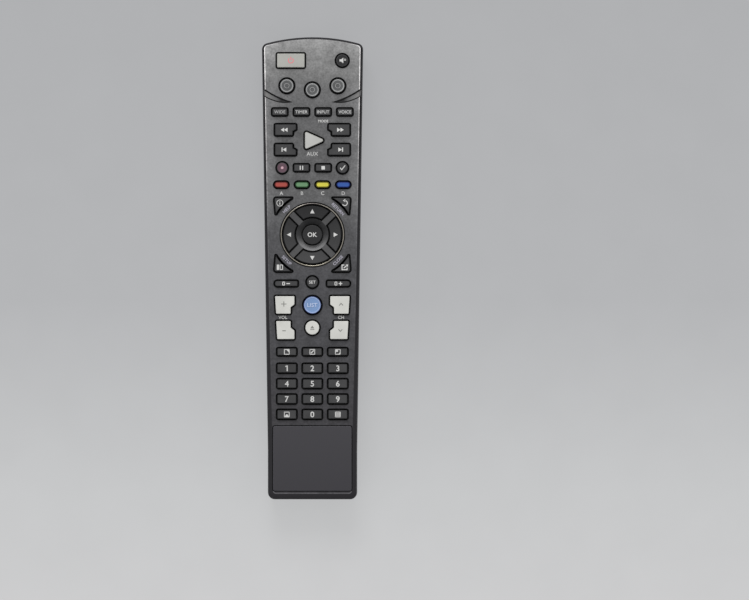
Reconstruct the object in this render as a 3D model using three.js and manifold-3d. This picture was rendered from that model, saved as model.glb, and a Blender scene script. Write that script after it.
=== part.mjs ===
// A television remote control that lies on its back with its keys facing up.
// Lengths are millimetres. X runs across the case, Y towards the infrared window, Z up out of the key face.
// The origin is on the surface that the remote rests on, under the middle of the case.

import * as THREE from "three";
import { mergeVertices } from "three/addons/utils/BufferGeometryUtils.js";
import Module from "manifold-3d";

const wasm = await Module();
wasm.setup();

// Fits
const FIT = 0.3;
const SEAT = 0.15;
const KEY_CLEARANCE = 0.45;
const OVERRUN = 5;
const MERGE_SHARE = 1e-6;

// Case
const HEAD_WIDTH = 48.2;
const TAIL_WIDTH = 42.5;
const TAPER_END_SHARE = -0.393;
const HEAD_ARC_RADIUS = 84;
const HEAD_CORNER = 3;
const TAIL_CORNER = 3.4;
const LEAST_CORNER = 1.2;
const WALL = 1.8;
const FLOOR_SKIN = 1.6;
const FACE_SKIN = 1.8;
const FACE_FILLET_HEIGHT = 1.9;
const FACE_FILLET_HEAD = 1;
const FACE_FILLET_TAIL = 1.9;
const FRONT_DRAFT = 0.25;
const REAR_DRAFT = 0.5;
const BELLY_REACH = 4.5;
const BELLY_HEIGHT = 5;
const HEAD_RISE = 3;
const RISE_START_SHARE = 0.08;
const PARTING_SHARE = 0.58;
const SEAM = 0.3;
const LIP_THICKNESS = 0.8;
const LIP_HEIGHT = 1.4;
const POST_RADIUS = 1.5;
const POST_PLACE = 13;
const POST_ROW_SHARES = [0.06, 0.4];
const POST_STEPS = 8;

// Batteries and their contacts
const BATTERY_DIAMETER = 10.5;
const BATTERY_LENGTH = 44.5;
const BATTERY_EDGE = 0.5;
const BATTERY_SPACING = 0.8;
const BATTERY_STEPS = 16;
const NUB_RADIUS = 1.9;
const NUB_LENGTH = 1.2;
const TRAY_SKIN = 1;
const WELL_TAIL_MARGIN = 9;
const CONTACT_THICKNESS = 0.4;
const CONTACT_HEIGHT = 8.6;
const CONTACT_WIDTH = 8.4;
const TAB_WIDTH = 2.6;
const SPRING_LENGTH = 4.5;
const SPRING_WIRE = 0.55;
const SPRING_WIDE = 3.3;
const SPRING_NARROW = 2.1;
const SPRING_TURNS = 4;
const SPRING_STEPS = 8;
const SPRING_SIDES = 5;

// Battery cover
const COVER_MARGIN = 4;
const COVER_WIDTH = 29;
const COVER_TONGUE = 0.9;
const TONGUE_THICKNESS = 0.75;
const COVER_LIP_THICKNESS = 2.6;
const COVER_LIP_HEIGHT = 6;
const GRIP_GROOVES = 5;
const GRIP_PITCH = 2.2;
const GRIP_GROOVE_WIDTH = 1;
const GRIP_GROOVE_DEPTH = 0.5;
const GRIP_WIDTH = 14;
const GRIP_MARGIN = 7;

// Circuit board, keypad mat and electronics
const BOARD_THICKNESS = 1.2;
const BOARD_INSET = 3.6;
const BOARD_TAIL_MARGIN = 3.2;
const MAT_THICKNESS = 1;
const CHIP_LENGTH = 12.8;
const CHIP_WIDTH = 7.5;
const CHIP_HEIGHT = 2.2;
const CHIP_LEGS = 6;
const CHIP_LEG_PITCH = 2;
const CHIP_LEG_WIDTH = 0.6;
const CHIP_LEG_REACH = 1.3;
const CHIP_LEG_HEIGHT = 1.2;
const CHIP_SHARE = 0.22;
const LED_RADIUS = 2.5;
const LED_LENGTH = 8.6;
const LED_RIM = 0.4;
const LED_RIM_LENGTH = 1;
const LED_STEPS = 14;
const LED_DOME_STEPS = 4;
const LEAD_WIDTH = 0.5;
const LEAD_SPACING = 2.54;
const LEAD_LENGTH = 2.6;

// Infrared window
const WINDOW_WIDTH = 30;
const WINDOW_HEIGHT = 5.4;
const WINDOW_FLANGE = 1.1;
const WINDOW_FLANGE_THICKNESS = 0.9;
const WINDOW_ROOM = 12;

// Keys
const KEY_TRAVEL = 1;
const FLANGE_THICKNESS = 0.7;
const FLANGE_REACH = 0.6;
const STEM_RADIUS = 1.3;
const STEM_CLEARANCE = 0.4;
const STEM_STEPS = 6;
const KEY_EDGE = 0.3;
const KEY_CORNER = 0.6;
const KEY_RISE = 1.4;
const TALL_KEY_RISE = 1.7;
const ROUND_STEPS = 16;
const STADIUM_STEPS = 4;

const POWER_WIDTH = 13.4;
const POWER_DEPTH = 6.9;
const POWER_PLACE = 10.2;
const MUTE_RADIUS = 3.05;
const MUTE_PLACE = 14.2;
const SOURCE_RADIUS = 3.5;
const SOURCE_PITCH = 12.1;
const FUNCTION_PITCH = 10.3;
const FUNCTION_WIDTH = 7.35;
const FUNCTION_DEPTH = 3.45;
const ROUND_FUNCTION_RADIUS = 2.7;
const ROUND_FUNCTION_PLACE = 14.3;
const COLOUR_PITCH = 9.8;
const COLOUR_WIDTH = 6.8;
const COLOUR_DEPTH = 3.1;
const SKIP_WIDTH = 10.3;
const SKIP_DEPTH = 5.5;
const SKIP_NOTCH = 1.6;
const SKIP_PLACE = 12.7;
const PLAY_LENGTH = 10.3;
const PLAY_DEPTH = 9.6;
const PLAY_CORNER = 0.9;
const PLAY_PLACE = 3.7;
const PAGE_WIDTH = 11.1;
const PAGE_DEPTH = 2.8;
const PAGE_CORNER = 1.3;
const PAGE_PLACE = 12.4;
const FAVOURITE_RADIUS = 2.8;
const ROCKER_WIDTH = 9.6;
const ROCKER_DEPTH = 9.2;
const ROCKER_NOTCH = 1.8;
const ROCKER_SLANT = 0.55;
const ROCKER_PLACE = 13.1;
const GUIDE_RADIUS = 4.35;
const EJECT_RADIUS = 3.45;
const PAD_PITCH = 12.1;
const PAD_KEY_WIDTH = 9.3;
const DIGIT_DEPTH = 4.4;
const ICON_DEPTH = 3.6;

// How far above and below a notched key's middle the slant of its notch starts and ends, of the key's depth
const NOTCH_SHARES = [0.02, -0.14];

// The clear gaps between the rows of keys, from the head down to the front plate and the tail
const HEAD_MARGIN = 8;
const SOURCE_ROW_GAP = 5.05;
const FUNCTION_ROW_GAP = 7.2;
const SKIP_ROW_GAP = 4;
const SKIP_GAP = 3.9;
const TRANSPORT_ROW_GAP = 4.15;
const COLOUR_ROW_GAP = 4.75;
const NAVIGATION_GAP = 4.55;
const PAGE_ROW_GAP = 4.2;
const ROCKER_ROW_GAP = 3.9;
const ROCKER_GAP = 3.1;
const ICON_ROW_GAP = 3.8;
const DIGIT_ROW_GAP = 3.8;
const DIGIT_GAP = 2.9;
const PLATE_GAP = 2.8;
const TAIL_MARGIN = 4.3;

// How far some keys in the middle column lie below or above their row
const SOURCE_DROP = 1.9;
const PLAY_DROP = 0.3;
const FAVOURITE_LIFT = 0.7;
const GUIDE_DROP = 0.3;
const EJECT_LIFT = 1.25;

// Navigation keys and their ring
const RING_RADIUS = 14.75;
const RING_WIDTH = 0.65;
const RING_RISE = 0.35;
const RING_DEPTH = 0.7;
const RING_STEPS = 40;
const SECTOR_OUTER = 13.9;
const SECTOR_INNER = 8.2;
const SPOKE_WIDTH = 3.9;
const SECTOR_SLOPE = 0.8;
const SECTOR_STEPS = 6;
const OK_RADIUS = 4.75;
const DISH_RADIUS = 7.6;
const DISH_DEPTH = 0.8;
const DISH_STEPS = 24;
const CORNER_KEY_WIDTH = 18.2;
const CORNER_KEY_HEIGHT = 17.6;
const CORNER_KEY_RADIUS = 19.6;
const CORNER_KEY_BLUNT = 0.65;
const BLUNT_LEAN_SHARE = 0.3;
const CORNER_KEY_SLANT = 0.7;
const CORNER_KEY_STEPS = 3;
const CORNER_KEY_STEM = 14.8;

// Front plate and the two crescent grooves at the sides of the head
const PLATE_WIDTH = 37.8;
const PLATE_LENGTH = 31.3;
const PLATE_CORNER = 1.2;
const PLATE_DEPTH = 1;
const PLATE_PROUD = 0.2;
const GROOVE_DEPTH = 0.8;
const GROOVE_STEPS = 6;
const GROOVE_TIP = 10;
const GROOVE_OUTER = 24;
const GROOVE_UPPER_BEND = 19.5;
const GROOVE_LOWER_BEND = 15.9;
const GROOVE_TIP_DROP = 7.7;
const GROOVE_UPPER_START = 7;
const GROOVE_UPPER_LIFT = 1.9;
const GROOVE_LOWER_START = 3.2;
const GROOVE_LOWER_DROP = 1.4;

// Counts that follow the curves of the case
const TAIL_CORNER_STEPS = 4;
const HEAD_CORNER_STEPS = 4;
const HEAD_ARC_STEPS = 6;
const SIDE_STEPS = 6;
const FILLET_STEPS = 5;

// Heights that follow from the stack of parts, from the cover up to the face
const batteryBottom = FLOOR_SKIN + FIT;
const batteryAxis = batteryBottom + BATTERY_DIAMETER / 2;
const trayCeiling = batteryBottom + BATTERY_DIAMETER + SEAT;
const boardBottom = trayCeiling + TRAY_SKIN + SEAT;
const boardTop = boardBottom + BOARD_THICKNESS;
const matBottom = boardTop + SEAT;
const matTop = matBottom + MAT_THICKNESS;
const flangeBottom = matTop + KEY_TRAVEL + FIT;
const flangeTop = flangeBottom + FLANGE_THICKNESS;
const faceUnderside = flangeTop + FIT;
const faceTop = faceUnderside + FACE_SKIN;
const stemBottom = boardTop + KEY_TRAVEL + FIT;
const parting = faceTop * PARTING_SHARE;
const ledAxis = boardBottom - SEAT - LED_RADIUS - LED_RIM;

// The rows from the head down, each with the gap above it and its own depth
const rows = [
  ["power", HEAD_MARGIN, POWER_DEPTH],
  ["source", SOURCE_ROW_GAP, 2 * SOURCE_RADIUS],
  ["functions", FUNCTION_ROW_GAP, FUNCTION_DEPTH],
  ["skipUpper", SKIP_ROW_GAP, SKIP_DEPTH],
  ["skipLower", SKIP_GAP, SKIP_DEPTH],
  ["transport", TRANSPORT_ROW_GAP, FUNCTION_DEPTH],
  ["colours", COLOUR_ROW_GAP, COLOUR_DEPTH],
  ["navigation", NAVIGATION_GAP, 2 * CORNER_KEY_HEIGHT],
  ["page", PAGE_ROW_GAP, PAGE_DEPTH],
  ["rockerUpper", ROCKER_ROW_GAP, ROCKER_DEPTH],
  ["rockerLower", ROCKER_GAP, ROCKER_DEPTH],
  ["icons", ICON_ROW_GAP, ICON_DEPTH],
  ["digitsFirst", DIGIT_ROW_GAP, DIGIT_DEPTH],
  ["digitsSecond", DIGIT_GAP, DIGIT_DEPTH],
  ["digitsThird", DIGIT_GAP, DIGIT_DEPTH],
  ["digitsLast", DIGIT_GAP, DIGIT_DEPTH],
  ["plate", PLATE_GAP, PLATE_LENGTH],
];

// Places along and across the case, which is as long as its rows and their gaps
const caseLength = rows.reduce((length, [, gap, depth]) => length + gap + depth, TAIL_MARGIN);
const tailEnd = -caseLength / 2;
const headEnd = caseLength / 2;
const rowPlaces = {};
rows.reduce((edge, [row, gap, depth]) => {
  rowPlaces[row] = edge - gap - depth / 2;
  return edge - gap - depth;
}, headEnd);
const playPlace = (rowPlaces.skipUpper + rowPlaces.skipLower) / 2 - PLAY_DROP;
const wellLength = BATTERY_LENGTH + SPRING_LENGTH + 2 * (CONTACT_THICKNESS + SEAT + FIT);
const wellTail = tailEnd + WELL_TAIL_MARGIN;
const wellHead = wellTail + wellLength;
const batteryPlace = (BATTERY_DIAMETER + BATTERY_SPACING) / 2;
const wellHalfWidth = batteryPlace + BATTERY_DIAMETER / 2 + FIT;
const coverHead = wellHead + COVER_MARGIN;
const boardTail = rowPlaces.digitsLast - DIGIT_DEPTH / 2 - BOARD_TAIL_MARGIN;

const FINISHES = {
  panel: { color: 0x57575a, roughness: 0.5, metalness: 0.1 },
  shell: { color: 0x3a3a3d, roughness: 0.55, metalness: 0 },
  plate: { color: 0x454448, roughness: 0.3, metalness: 0.1 },
  darkKey: { color: 0x48484a, roughness: 0.5, metalness: 0 },
  greyKey: { color: 0x656667, roughness: 0.5, metalness: 0 },
  lightKey: { color: 0xb0b0aa, roughness: 0.5, metalness: 0 },
  creamKey: { color: 0xcbccc7, roughness: 0.5, metalness: 0 },
  recordKey: { color: 0x5a4a52, roughness: 0.5, metalness: 0 },
  redKey: { color: 0xaa413a, roughness: 0.45, metalness: 0 },
  greenKey: { color: 0x698769, roughness: 0.45, metalness: 0 },
  yellowKey: { color: 0xbcb450, roughness: 0.45, metalness: 0 },
  blueKey: { color: 0x375693, roughness: 0.45, metalness: 0 },
  guideKey: { color: 0x7691b9, roughness: 0.45, metalness: 0 },
  chrome: { color: 0xd8d8d8, roughness: 0.15, metalness: 1 },
  window: { color: 0x1c0c10, roughness: 0.1, metalness: 0 },
  led: { color: 0x9fb0c8, roughness: 0.1, metalness: 0 },
  rubber: { color: 0x8a8a86, roughness: 0.8, metalness: 0 },
  board: { color: 0x2f6b3c, roughness: 0.5, metalness: 0 },
  chip: { color: 0x1d1d1f, roughness: 0.5, metalness: 0 },
  battery: { color: 0x33373c, roughness: 0.35, metalness: 0.4 },
  contact: { color: 0xc9c9c4, roughness: 0.3, metalness: 1 },
};

const remote = new THREE.Group();

function addPart(name, solid, finish, x = 0, y = 0, z = 0) {
  const material = new THREE.MeshStandardMaterial(FINISHES[finish]);
  const mesh = new THREE.Mesh(geometryFromSolid(solid), material);
  mesh.name = name;
  mesh.position.set(x, y, z);
  remote.add(mesh);
}

// Solids from triangles, geometries and outlines

function solidFromTriangles(positions) {
  const geometry = new THREE.BufferGeometry();
  geometry.setAttribute("position", new THREE.Float32BufferAttribute(positions, 3));
  return solidFromGeometry(geometry);
}

function solidFromGeometry(geometry) {
  const bare = geometry.clone();
  bare.deleteAttribute("normal");
  bare.deleteAttribute("uv");
  const merged = mergeVertices(bare, caseLength * MERGE_SHARE);
  const triangles = [];
  for (let i = 0; i < merged.index.count; i += 3) {
    const [a, b, c] = merged.index.array.slice(i, i + 3);
    if (a !== b && b !== c && c !== a) {
      triangles.push(a, b, c);
    }
  }
  const mesh = new wasm.Mesh({
    numProp: 3,
    vertProperties: merged.attributes.position.array,
    triVerts: new Uint32Array(triangles),
  });
  return new wasm.Manifold(mesh);
}

function geometryFromSolid(solid) {
  const mesh = solid.getMesh();
  const geometry = new THREE.BufferGeometry();
  geometry.setAttribute("position", new THREE.BufferAttribute(mesh.vertProperties.slice(), 3));
  geometry.setIndex(new THREE.BufferAttribute(mesh.triVerts.slice(), 1));
  geometry.computeVertexNormals();
  return geometry;
}

function joined(solids) {
  return solids.reduce((whole, solid) => whole.add(solid));
}

function box(x0, x1, y0, y1, z0, z1) {
  const geometry = new THREE.BoxGeometry(x1 - x0, y1 - y0, z1 - z0);
  geometry.translate((x0 + x1) / 2, (y0 + y1) / 2, (z0 + z1) / 2);
  return solidFromGeometry(geometry);
}

// A box that lies evenly about the middle plane of the case.
function middleBox(halfWidth, y0, y1, z0, z1) {
  return box(-halfWidth, halfWidth, y0, y1, z0, z1);
}

function prism(outline, z0, z1) {
  const flat = (z) => ({ outline, heights: () => z });
  return stack([flat(z0), flat(z1)]);
}

// A body turned about the Y axis, from a profile of radius and place along the axis.
function turned(profile, steps) {
  return solidFromGeometry(new THREE.LatheGeometry(profile, steps));
}

// A body through a pile of outlines with equal counts of points, from the bottom up.
// A layer's heights give the Z of each point, and the caps say which points its ends join.
function stack(layers, caps = flatCap) {
  const positions = [];
  const put = ({ outline, heights }, index) => {
    const i = index % outline.length;
    positions.push(outline[i].x, outline[i].y, heights(outline[i], i));
  };
  for (let k = 0; k + 1 < layers.length; k++) {
    const lower = layers[k];
    const upper = layers[k + 1];
    for (let i = 0; i < lower.outline.length; i++) {
      put(lower, i);
      put(lower, i + 1);
      put(upper, i + 1);
      put(lower, i);
      put(upper, i + 1);
      put(upper, i);
    }
  }
  const bottom = layers[0];
  const top = layers[layers.length - 1];
  for (const corners of caps(bottom.outline)) {
    corners.reverse().forEach((i) => put(bottom, i));
  }
  for (const corners of caps(top.outline)) {
    corners.forEach((i) => put(top, i));
  }
  return solidFromTriangles(positions);
}

function flatCap(outline) {
  return THREE.ShapeUtils.triangulateShape(outline, []);
}

// Joins each point to its mirror image, so that a face that is curved or sloped along the outline stays even.
function mirrorCap(outline) {
  const corners = [];
  const last = outline.length - 1;
  for (let i = 0; i < last / 2; i++) {
    if (i + 1 < last - i - 1) {
      corners.push([i, i + 1, last - i - 1]);
    }
    if (i + 1 <= last - i - 1) {
      corners.push([i, last - i - 1, last - i]);
    }
  }
  return corners;
}

// Outlines, which run anticlockwise

function circle(radius, steps = ROUND_STEPS) {
  return arc(radius, 0, 2 * Math.PI, steps).slice(0, -1);
}

function arc(radius, from, to, steps) {
  const points = [];
  for (let i = 0; i <= steps; i++) {
    const angle = from + ((to - from) * i) / steps;
    points.push(new THREE.Vector2(radius * Math.cos(angle), radius * Math.sin(angle)));
  }
  return points;
}

// A polygon whose corners are [x, y] where they are sharp and [x, y, radius] where they are rounded.
function polygon(corners, steps = 2) {
  const count = corners.length;
  return corners.flatMap(([x, y, radius = 0], i) => {
    const here = new THREE.Vector2(x, y);
    if (radius === 0) {
      return [here];
    }
    const before = corners[(i + count - 1) % count];
    const after = corners[(i + 1) % count];
    const back = new THREE.Vector2(before[0] - x, before[1] - y).normalize();
    const ahead = new THREE.Vector2(after[0] - x, after[1] - y).normalize();
    const half = Math.acos(back.dot(ahead)) / 2;
    const middle = back.clone().add(ahead).normalize();
    const centre = here.clone().addScaledVector(middle, radius / Math.sin(half));
    const start = here.clone().addScaledVector(back, radius / Math.tan(half)).sub(centre);
    const sweep = Math.PI - 2 * half;
    const origin = new THREE.Vector2();
    return Array.from({ length: steps + 1 }, (_, k) => {
      return start.clone().rotateAround(origin, (sweep * k) / steps).add(centre);
    });
  });
}

function rectangle(width, depth, radius, steps = 2) {
  const x = width / 2;
  const y = depth / 2;
  return polygon([[-x, -y, radius], [x, -y, radius], [x, y, radius], [-x, y, radius]], steps);
}

function stadium(width, depth) {
  const radius = depth / 2;
  const middle = width / 2 - radius;
  const right = moved(arc(radius, -Math.PI / 2, Math.PI / 2, STADIUM_STEPS), middle, 0);
  return [...right, ...flipped(right, -1, -1)];
}

// Moves every edge of an outline outwards by a distance, or inwards when it is negative.
function offset(outline, distance) {
  const count = outline.length;
  return outline.map((point, i) => {
    const before = outline[(i + count - 1) % count];
    const after = outline[(i + 1) % count];
    const first = new THREE.Vector2(point.y - before.y, before.x - point.x).normalize();
    const second = new THREE.Vector2(after.y - point.y, point.x - after.x).normalize();
    const scale = distance / (1 + first.dot(second));
    return point.clone().addScaledVector(first, scale).addScaledVector(second, scale);
  });
}

function moved(outline, x, y) {
  return outline.map((point) => new THREE.Vector2(point.x + x, point.y + y));
}

function turnedOutline(outline, angle) {
  const origin = new THREE.Vector2();
  return outline.map((point) => point.clone().rotateAround(origin, angle));
}

function flipped(outline, sideX, sideY) {
  const points = outline.map((point) => new THREE.Vector2(point.x * sideX, point.y * sideY));
  return sideX * sideY > 0 ? points : points.reverse();
}

// The right half of the case's outline at an inset, from the tail to the top of the head's arc
function halfPlan(inset) {
  const tailX = TAIL_WIDTH / 2 - inset;
  const headX = HEAD_WIDTH / 2 - inset;
  const tailRadius = Math.max(TAIL_CORNER - inset, LEAST_CORNER);
  const headRadius = Math.max(HEAD_CORNER - inset, LEAST_CORNER);
  const tailCorner = arc(tailRadius, -Math.PI / 2, 0, TAIL_CORNER_STEPS);
  const arcRadius = HEAD_ARC_RADIUS - inset;
  const arcCentre = headEnd - HEAD_ARC_RADIUS;
  const cornerX = headX - headRadius;
  const cornerReach = Math.sqrt((arcRadius - headRadius) ** 2 - cornerX ** 2);
  const cornerY = arcCentre + cornerReach;
  const cornerAngle = Math.atan2(cornerReach, cornerX);
  const taperEnd = caseLength * TAPER_END_SHARE;
  const side = Array.from({ length: SIDE_STEPS }, (_, i) => {
    const share = i / SIDE_STEPS;
    const x = THREE.MathUtils.lerp(tailX, headX, share);
    return new THREE.Vector2(x, THREE.MathUtils.lerp(taperEnd, cornerY, share));
  });
  const headCorner = arc(headRadius, 0, cornerAngle, HEAD_CORNER_STEPS);
  const head = arc(arcRadius, cornerAngle, Math.PI / 2, HEAD_ARC_STEPS).slice(1);
  head[head.length - 1].x = 0;
  return [
    ...moved(tailCorner, tailX - tailRadius, tailEnd + inset + tailRadius),
    ...side,
    ...moved(headCorner, cornerX, cornerY),
    ...moved(head, 0, arcCentre),
  ];
}

// The whole outline, with one inset at the tail and another at the head.
function plan(tailInset, headInset = tailInset) {
  const atTail = halfPlan(tailInset);
  const atHead = halfPlan(headInset);
  const right = atTail.map((point, i) => {
    return point.clone().lerp(atHead[i], (point.y - tailEnd) / caseLength);
  });
  const left = right.slice(0, -1).reverse();
  return [...right, ...left.map((point) => new THREE.Vector2(-point.x, point.y))];
}

// The height of the case's back, which rises in a curve towards the head.
function backHeight(y) {
  const start = caseLength * RISE_START_SHARE;
  const share = THREE.MathUtils.clamp((y - start) / (headEnd - start), 0, 1);
  return HEAD_RISE * share * share;
}

// The case as one body, drawn in at its sides by an inset and at its back and its face by a skin each.
function caseBody(inset, floorSkin, faceSkin) {
  const layers = [];
  for (let i = 0; i <= FILLET_STEPS; i++) {
    const angle = (Math.PI / 2) * (1 - i / FILLET_STEPS);
    const reach = REAR_DRAFT + BELLY_REACH * (1 - Math.cos(angle)) + inset;
    const up = floorSkin + (BELLY_HEIGHT - floorSkin) * (1 - Math.sin(angle));
    layers.push({ outline: plan(reach), heights: ({ y }) => backHeight(y) + up });
  }
  layers.push({ outline: plan(inset), heights: () => parting });
  const shoulder = faceTop - FACE_FILLET_HEIGHT - faceSkin / 2;
  for (let i = 0; i <= FILLET_STEPS; i++) {
    const angle = (Math.PI / 2) * (i / FILLET_STEPS);
    const tailReach = FRONT_DRAFT + FACE_FILLET_TAIL * (1 - Math.cos(angle)) + inset;
    const headReach = FRONT_DRAFT + FACE_FILLET_HEAD * (1 - Math.cos(angle)) + inset;
    const level = shoulder + (faceTop - faceSkin - shoulder) * Math.sin(angle);
    layers.push({ outline: plan(tailReach, headReach), heights: () => level });
  }
  return stack(layers, mirrorCap);
}

const outside = caseBody(0, 0, 0);
const core = caseBody(WALL / 2, FLOOR_SKIN / 2, FACE_SKIN / 2);
const inside = caseBody(WALL, FLOOR_SKIN, FACE_SKIN);
const shell = outside.subtract(inside);

// Everything between two heights.
function slab(z0, z1) {
  return middleBox(HEAD_WIDTH, tailEnd - OVERRUN, headEnd + OVERRUN, z0, z1);
}

// Key outlines

// A rectangle with a slanted notch in its lower right corner. The left edge leans in by a slant down the key.
function notchedOutline(width, depth, notch, lean, slant) {
  const x = width / 2;
  const y = depth / 2;
  const [notchStart, notchEnd] = NOTCH_SHARES.map((share) => share * depth);
  return polygon(
    [
      [-x + lean + slant, -y, KEY_CORNER],
      [x - notch, -y, KEY_CORNER],
      [x - notch, notchEnd],
      [x, notchStart],
      [x, y, KEY_CORNER],
      [-x + lean, y, KEY_CORNER],
    ],
    1,
  );
}

function skipOutline(sideX, sideY) {
  return flipped(notchedOutline(SKIP_WIDTH, SKIP_DEPTH, SKIP_NOTCH, 0, 0), sideX, sideY);
}

// The lower rocker carries on the lean of the upper one's outer edge.
function rockerOutline(sideX, isLower) {
  const lean = isLower ? 2 * ROCKER_SLANT : 0;
  const slant = isLower ? -ROCKER_SLANT : ROCKER_SLANT;
  const outline = notchedOutline(ROCKER_WIDTH, ROCKER_DEPTH, ROCKER_NOTCH, lean, slant);
  return flipped(outline, sideX, isLower ? -1 : 1);
}

function playOutline() {
  const y = PLAY_DEPTH / 2;
  return polygon([[0, -y, PLAY_CORNER], [PLAY_LENGTH, 0, PLAY_CORNER], [0, y, PLAY_CORNER]]);
}

function pageOutline(sideX) {
  const x = PAGE_WIDTH / 2;
  const y = PAGE_DEPTH / 2;
  const corners = [[-x, -y, PAGE_CORNER], [x, -y, KEY_CORNER], [x, y, KEY_CORNER], [-x, y, PAGE_CORNER]];
  return flipped(polygon(corners), sideX, 1);
}

// A navigation key between two spokes, round the ring's middle, facing +Y.
function sectorOutline() {
  const span = (radius) => Math.PI / 4 + Math.asin(SPOKE_WIDTH / 2 / radius);
  const outerSpan = span(SECTOR_OUTER);
  const innerSpan = span(SECTOR_INNER);
  const outer = arc(SECTOR_OUTER, outerSpan, Math.PI - outerSpan, SECTOR_STEPS);
  const inner = arc(SECTOR_INNER, Math.PI - innerSpan, innerSpan, SECTOR_STEPS);
  return [...outer, ...inner];
}

// A three-sided key with blunt tips in the upper left, whose hollow side follows the ring. Its origin is the
// ring's middle.
function cornerOutline() {
  const reachAt = (level) => Math.sqrt(CORNER_KEY_RADIUS ** 2 - level ** 2);
  const topLevel = CORNER_KEY_HEIGHT - CORNER_KEY_BLUNT;
  const sideLevel = CORNER_KEY_WIDTH - CORNER_KEY_SLANT - CORNER_KEY_BLUNT;
  const lean = CORNER_KEY_BLUNT * BLUNT_LEAN_SHARE;
  const from = Math.atan2(topLevel, -reachAt(topLevel));
  const to = Math.atan2(reachAt(sideLevel), -sideLevel);
  return [
    ...arc(CORNER_KEY_RADIUS, from, to, CORNER_KEY_STEPS),
    new THREE.Vector2(CORNER_KEY_SLANT - CORNER_KEY_WIDTH, reachAt(sideLevel) - lean),
    new THREE.Vector2(-CORNER_KEY_WIDTH, CORNER_KEY_HEIGHT),
    new THREE.Vector2(lean - reachAt(topLevel), CORNER_KEY_HEIGHT),
  ].reverse();
}

// Keys

const keys = [];

// A key's outline, stem and top are given round its own origin, which lies at x, y.
function addKey(name, outline, finish, x, y, options = {}) {
  const rise = options.rise ?? KEY_RISE;
  const key = { name, finish, x, y, outline, stem: options.stem ?? [0, 0], copies: options.copies ?? [0] };
  key.top = options.top ?? (() => faceTop + rise);
  key.caps = options.caps ?? flatCap;
  keys.push(key);
}

function sectorTop({ x, y }) {
  const share = (SECTOR_OUTER - Math.hypot(x, y)) / (SECTOR_OUTER - SECTOR_INNER);
  return faceTop + KEY_RISE - SECTOR_SLOPE * share;
}

function addRow(names, outline, finishes, pitch, row) {
  names.forEach((name, i) => {
    const x = (i - (names.length - 1) / 2) * pitch;
    addKey(name, outline, finishes[i % finishes.length], x, rowPlaces[row]);
  });
}

const tall = { rise: TALL_KEY_RISE };
const functionOutline = rectangle(FUNCTION_WIDTH, FUNCTION_DEPTH, KEY_CORNER, 1);
const roundOutline = circle(ROUND_FUNCTION_RADIUS);
const powerOutline = rectangle(POWER_WIDTH, POWER_DEPTH, KEY_CORNER);
const colourOutline = stadium(COLOUR_WIDTH, COLOUR_DEPTH);

addKey("power_key", powerOutline, "lightKey", -POWER_PLACE, rowPlaces.power);
addKey("mute_key", circle(MUTE_RADIUS), "darkKey", MUTE_PLACE, rowPlaces.power);
addKey("source_key_left", circle(SOURCE_RADIUS), "greyKey", -SOURCE_PITCH, rowPlaces.source);
addKey("source_key_middle", circle(SOURCE_RADIUS), "greyKey", 0, rowPlaces.source - SOURCE_DROP);
addKey("source_key_right", circle(SOURCE_RADIUS), "greyKey", SOURCE_PITCH, rowPlaces.source);
addRow(
  ["function_key_1", "function_key_2", "function_key_3", "function_key_4"],
  functionOutline,
  ["darkKey"],
  FUNCTION_PITCH,
  "functions",
);
addKey("rewind_key", skipOutline(1, 1), "darkKey", -SKIP_PLACE, rowPlaces.skipUpper);
addKey("forward_key", skipOutline(-1, 1), "darkKey", SKIP_PLACE, rowPlaces.skipUpper);
addKey("previous_key", skipOutline(1, -1), "darkKey", -SKIP_PLACE, rowPlaces.skipLower);
addKey("next_key", skipOutline(-1, -1), "darkKey", SKIP_PLACE, rowPlaces.skipLower);
addKey("play_key", playOutline(), "lightKey", -PLAY_PLACE, playPlace, { stem: [PLAY_LENGTH / 3, 0] });
addKey("record_key", roundOutline, "recordKey", -ROUND_FUNCTION_PLACE, rowPlaces.transport);
addRow(["pause_key", "stop_key"], functionOutline, ["darkKey"], FUNCTION_PITCH, "transport");
addKey("confirm_key", roundOutline, "darkKey", ROUND_FUNCTION_PLACE, rowPlaces.transport);
addRow(
  ["red_key", "green_key", "yellow_key", "blue_key"],
  colourOutline,
  ["redKey", "greenKey", "yellowKey", "blueKey"],
  COLOUR_PITCH,
  "colours",
);

["up", "left", "down", "right"].forEach((side, i) => {
  const outline = turnedOutline(sectorOutline(), (Math.PI / 2) * i);
  const middle = (SECTOR_OUTER + SECTOR_INNER) / 2;
  const stem = turnedOutline([new THREE.Vector2(0, middle)], (Math.PI / 2) * i)[0].toArray();
  const options = { stem, top: sectorTop, caps: mirrorCap };
  addKey(`${side}_key`, outline, "darkKey", 0, rowPlaces.navigation, options);
});
addKey("ok_key", circle(OK_RADIUS), "darkKey", 0, rowPlaces.navigation);
[["upper_left", 1, 1], ["upper_right", -1, 1], ["lower_left", 1, -1], ["lower_right", -1, -1]].forEach(
  ([place, sideX, sideY]) => {
    const outline = flipped(cornerOutline(), sideX, sideY);
    const stem = [-CORNER_KEY_STEM * sideX, CORNER_KEY_STEM * sideY];
    addKey(`corner_key_${place}`, outline, "darkKey", 0, rowPlaces.navigation, { stem });
  },
);

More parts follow.
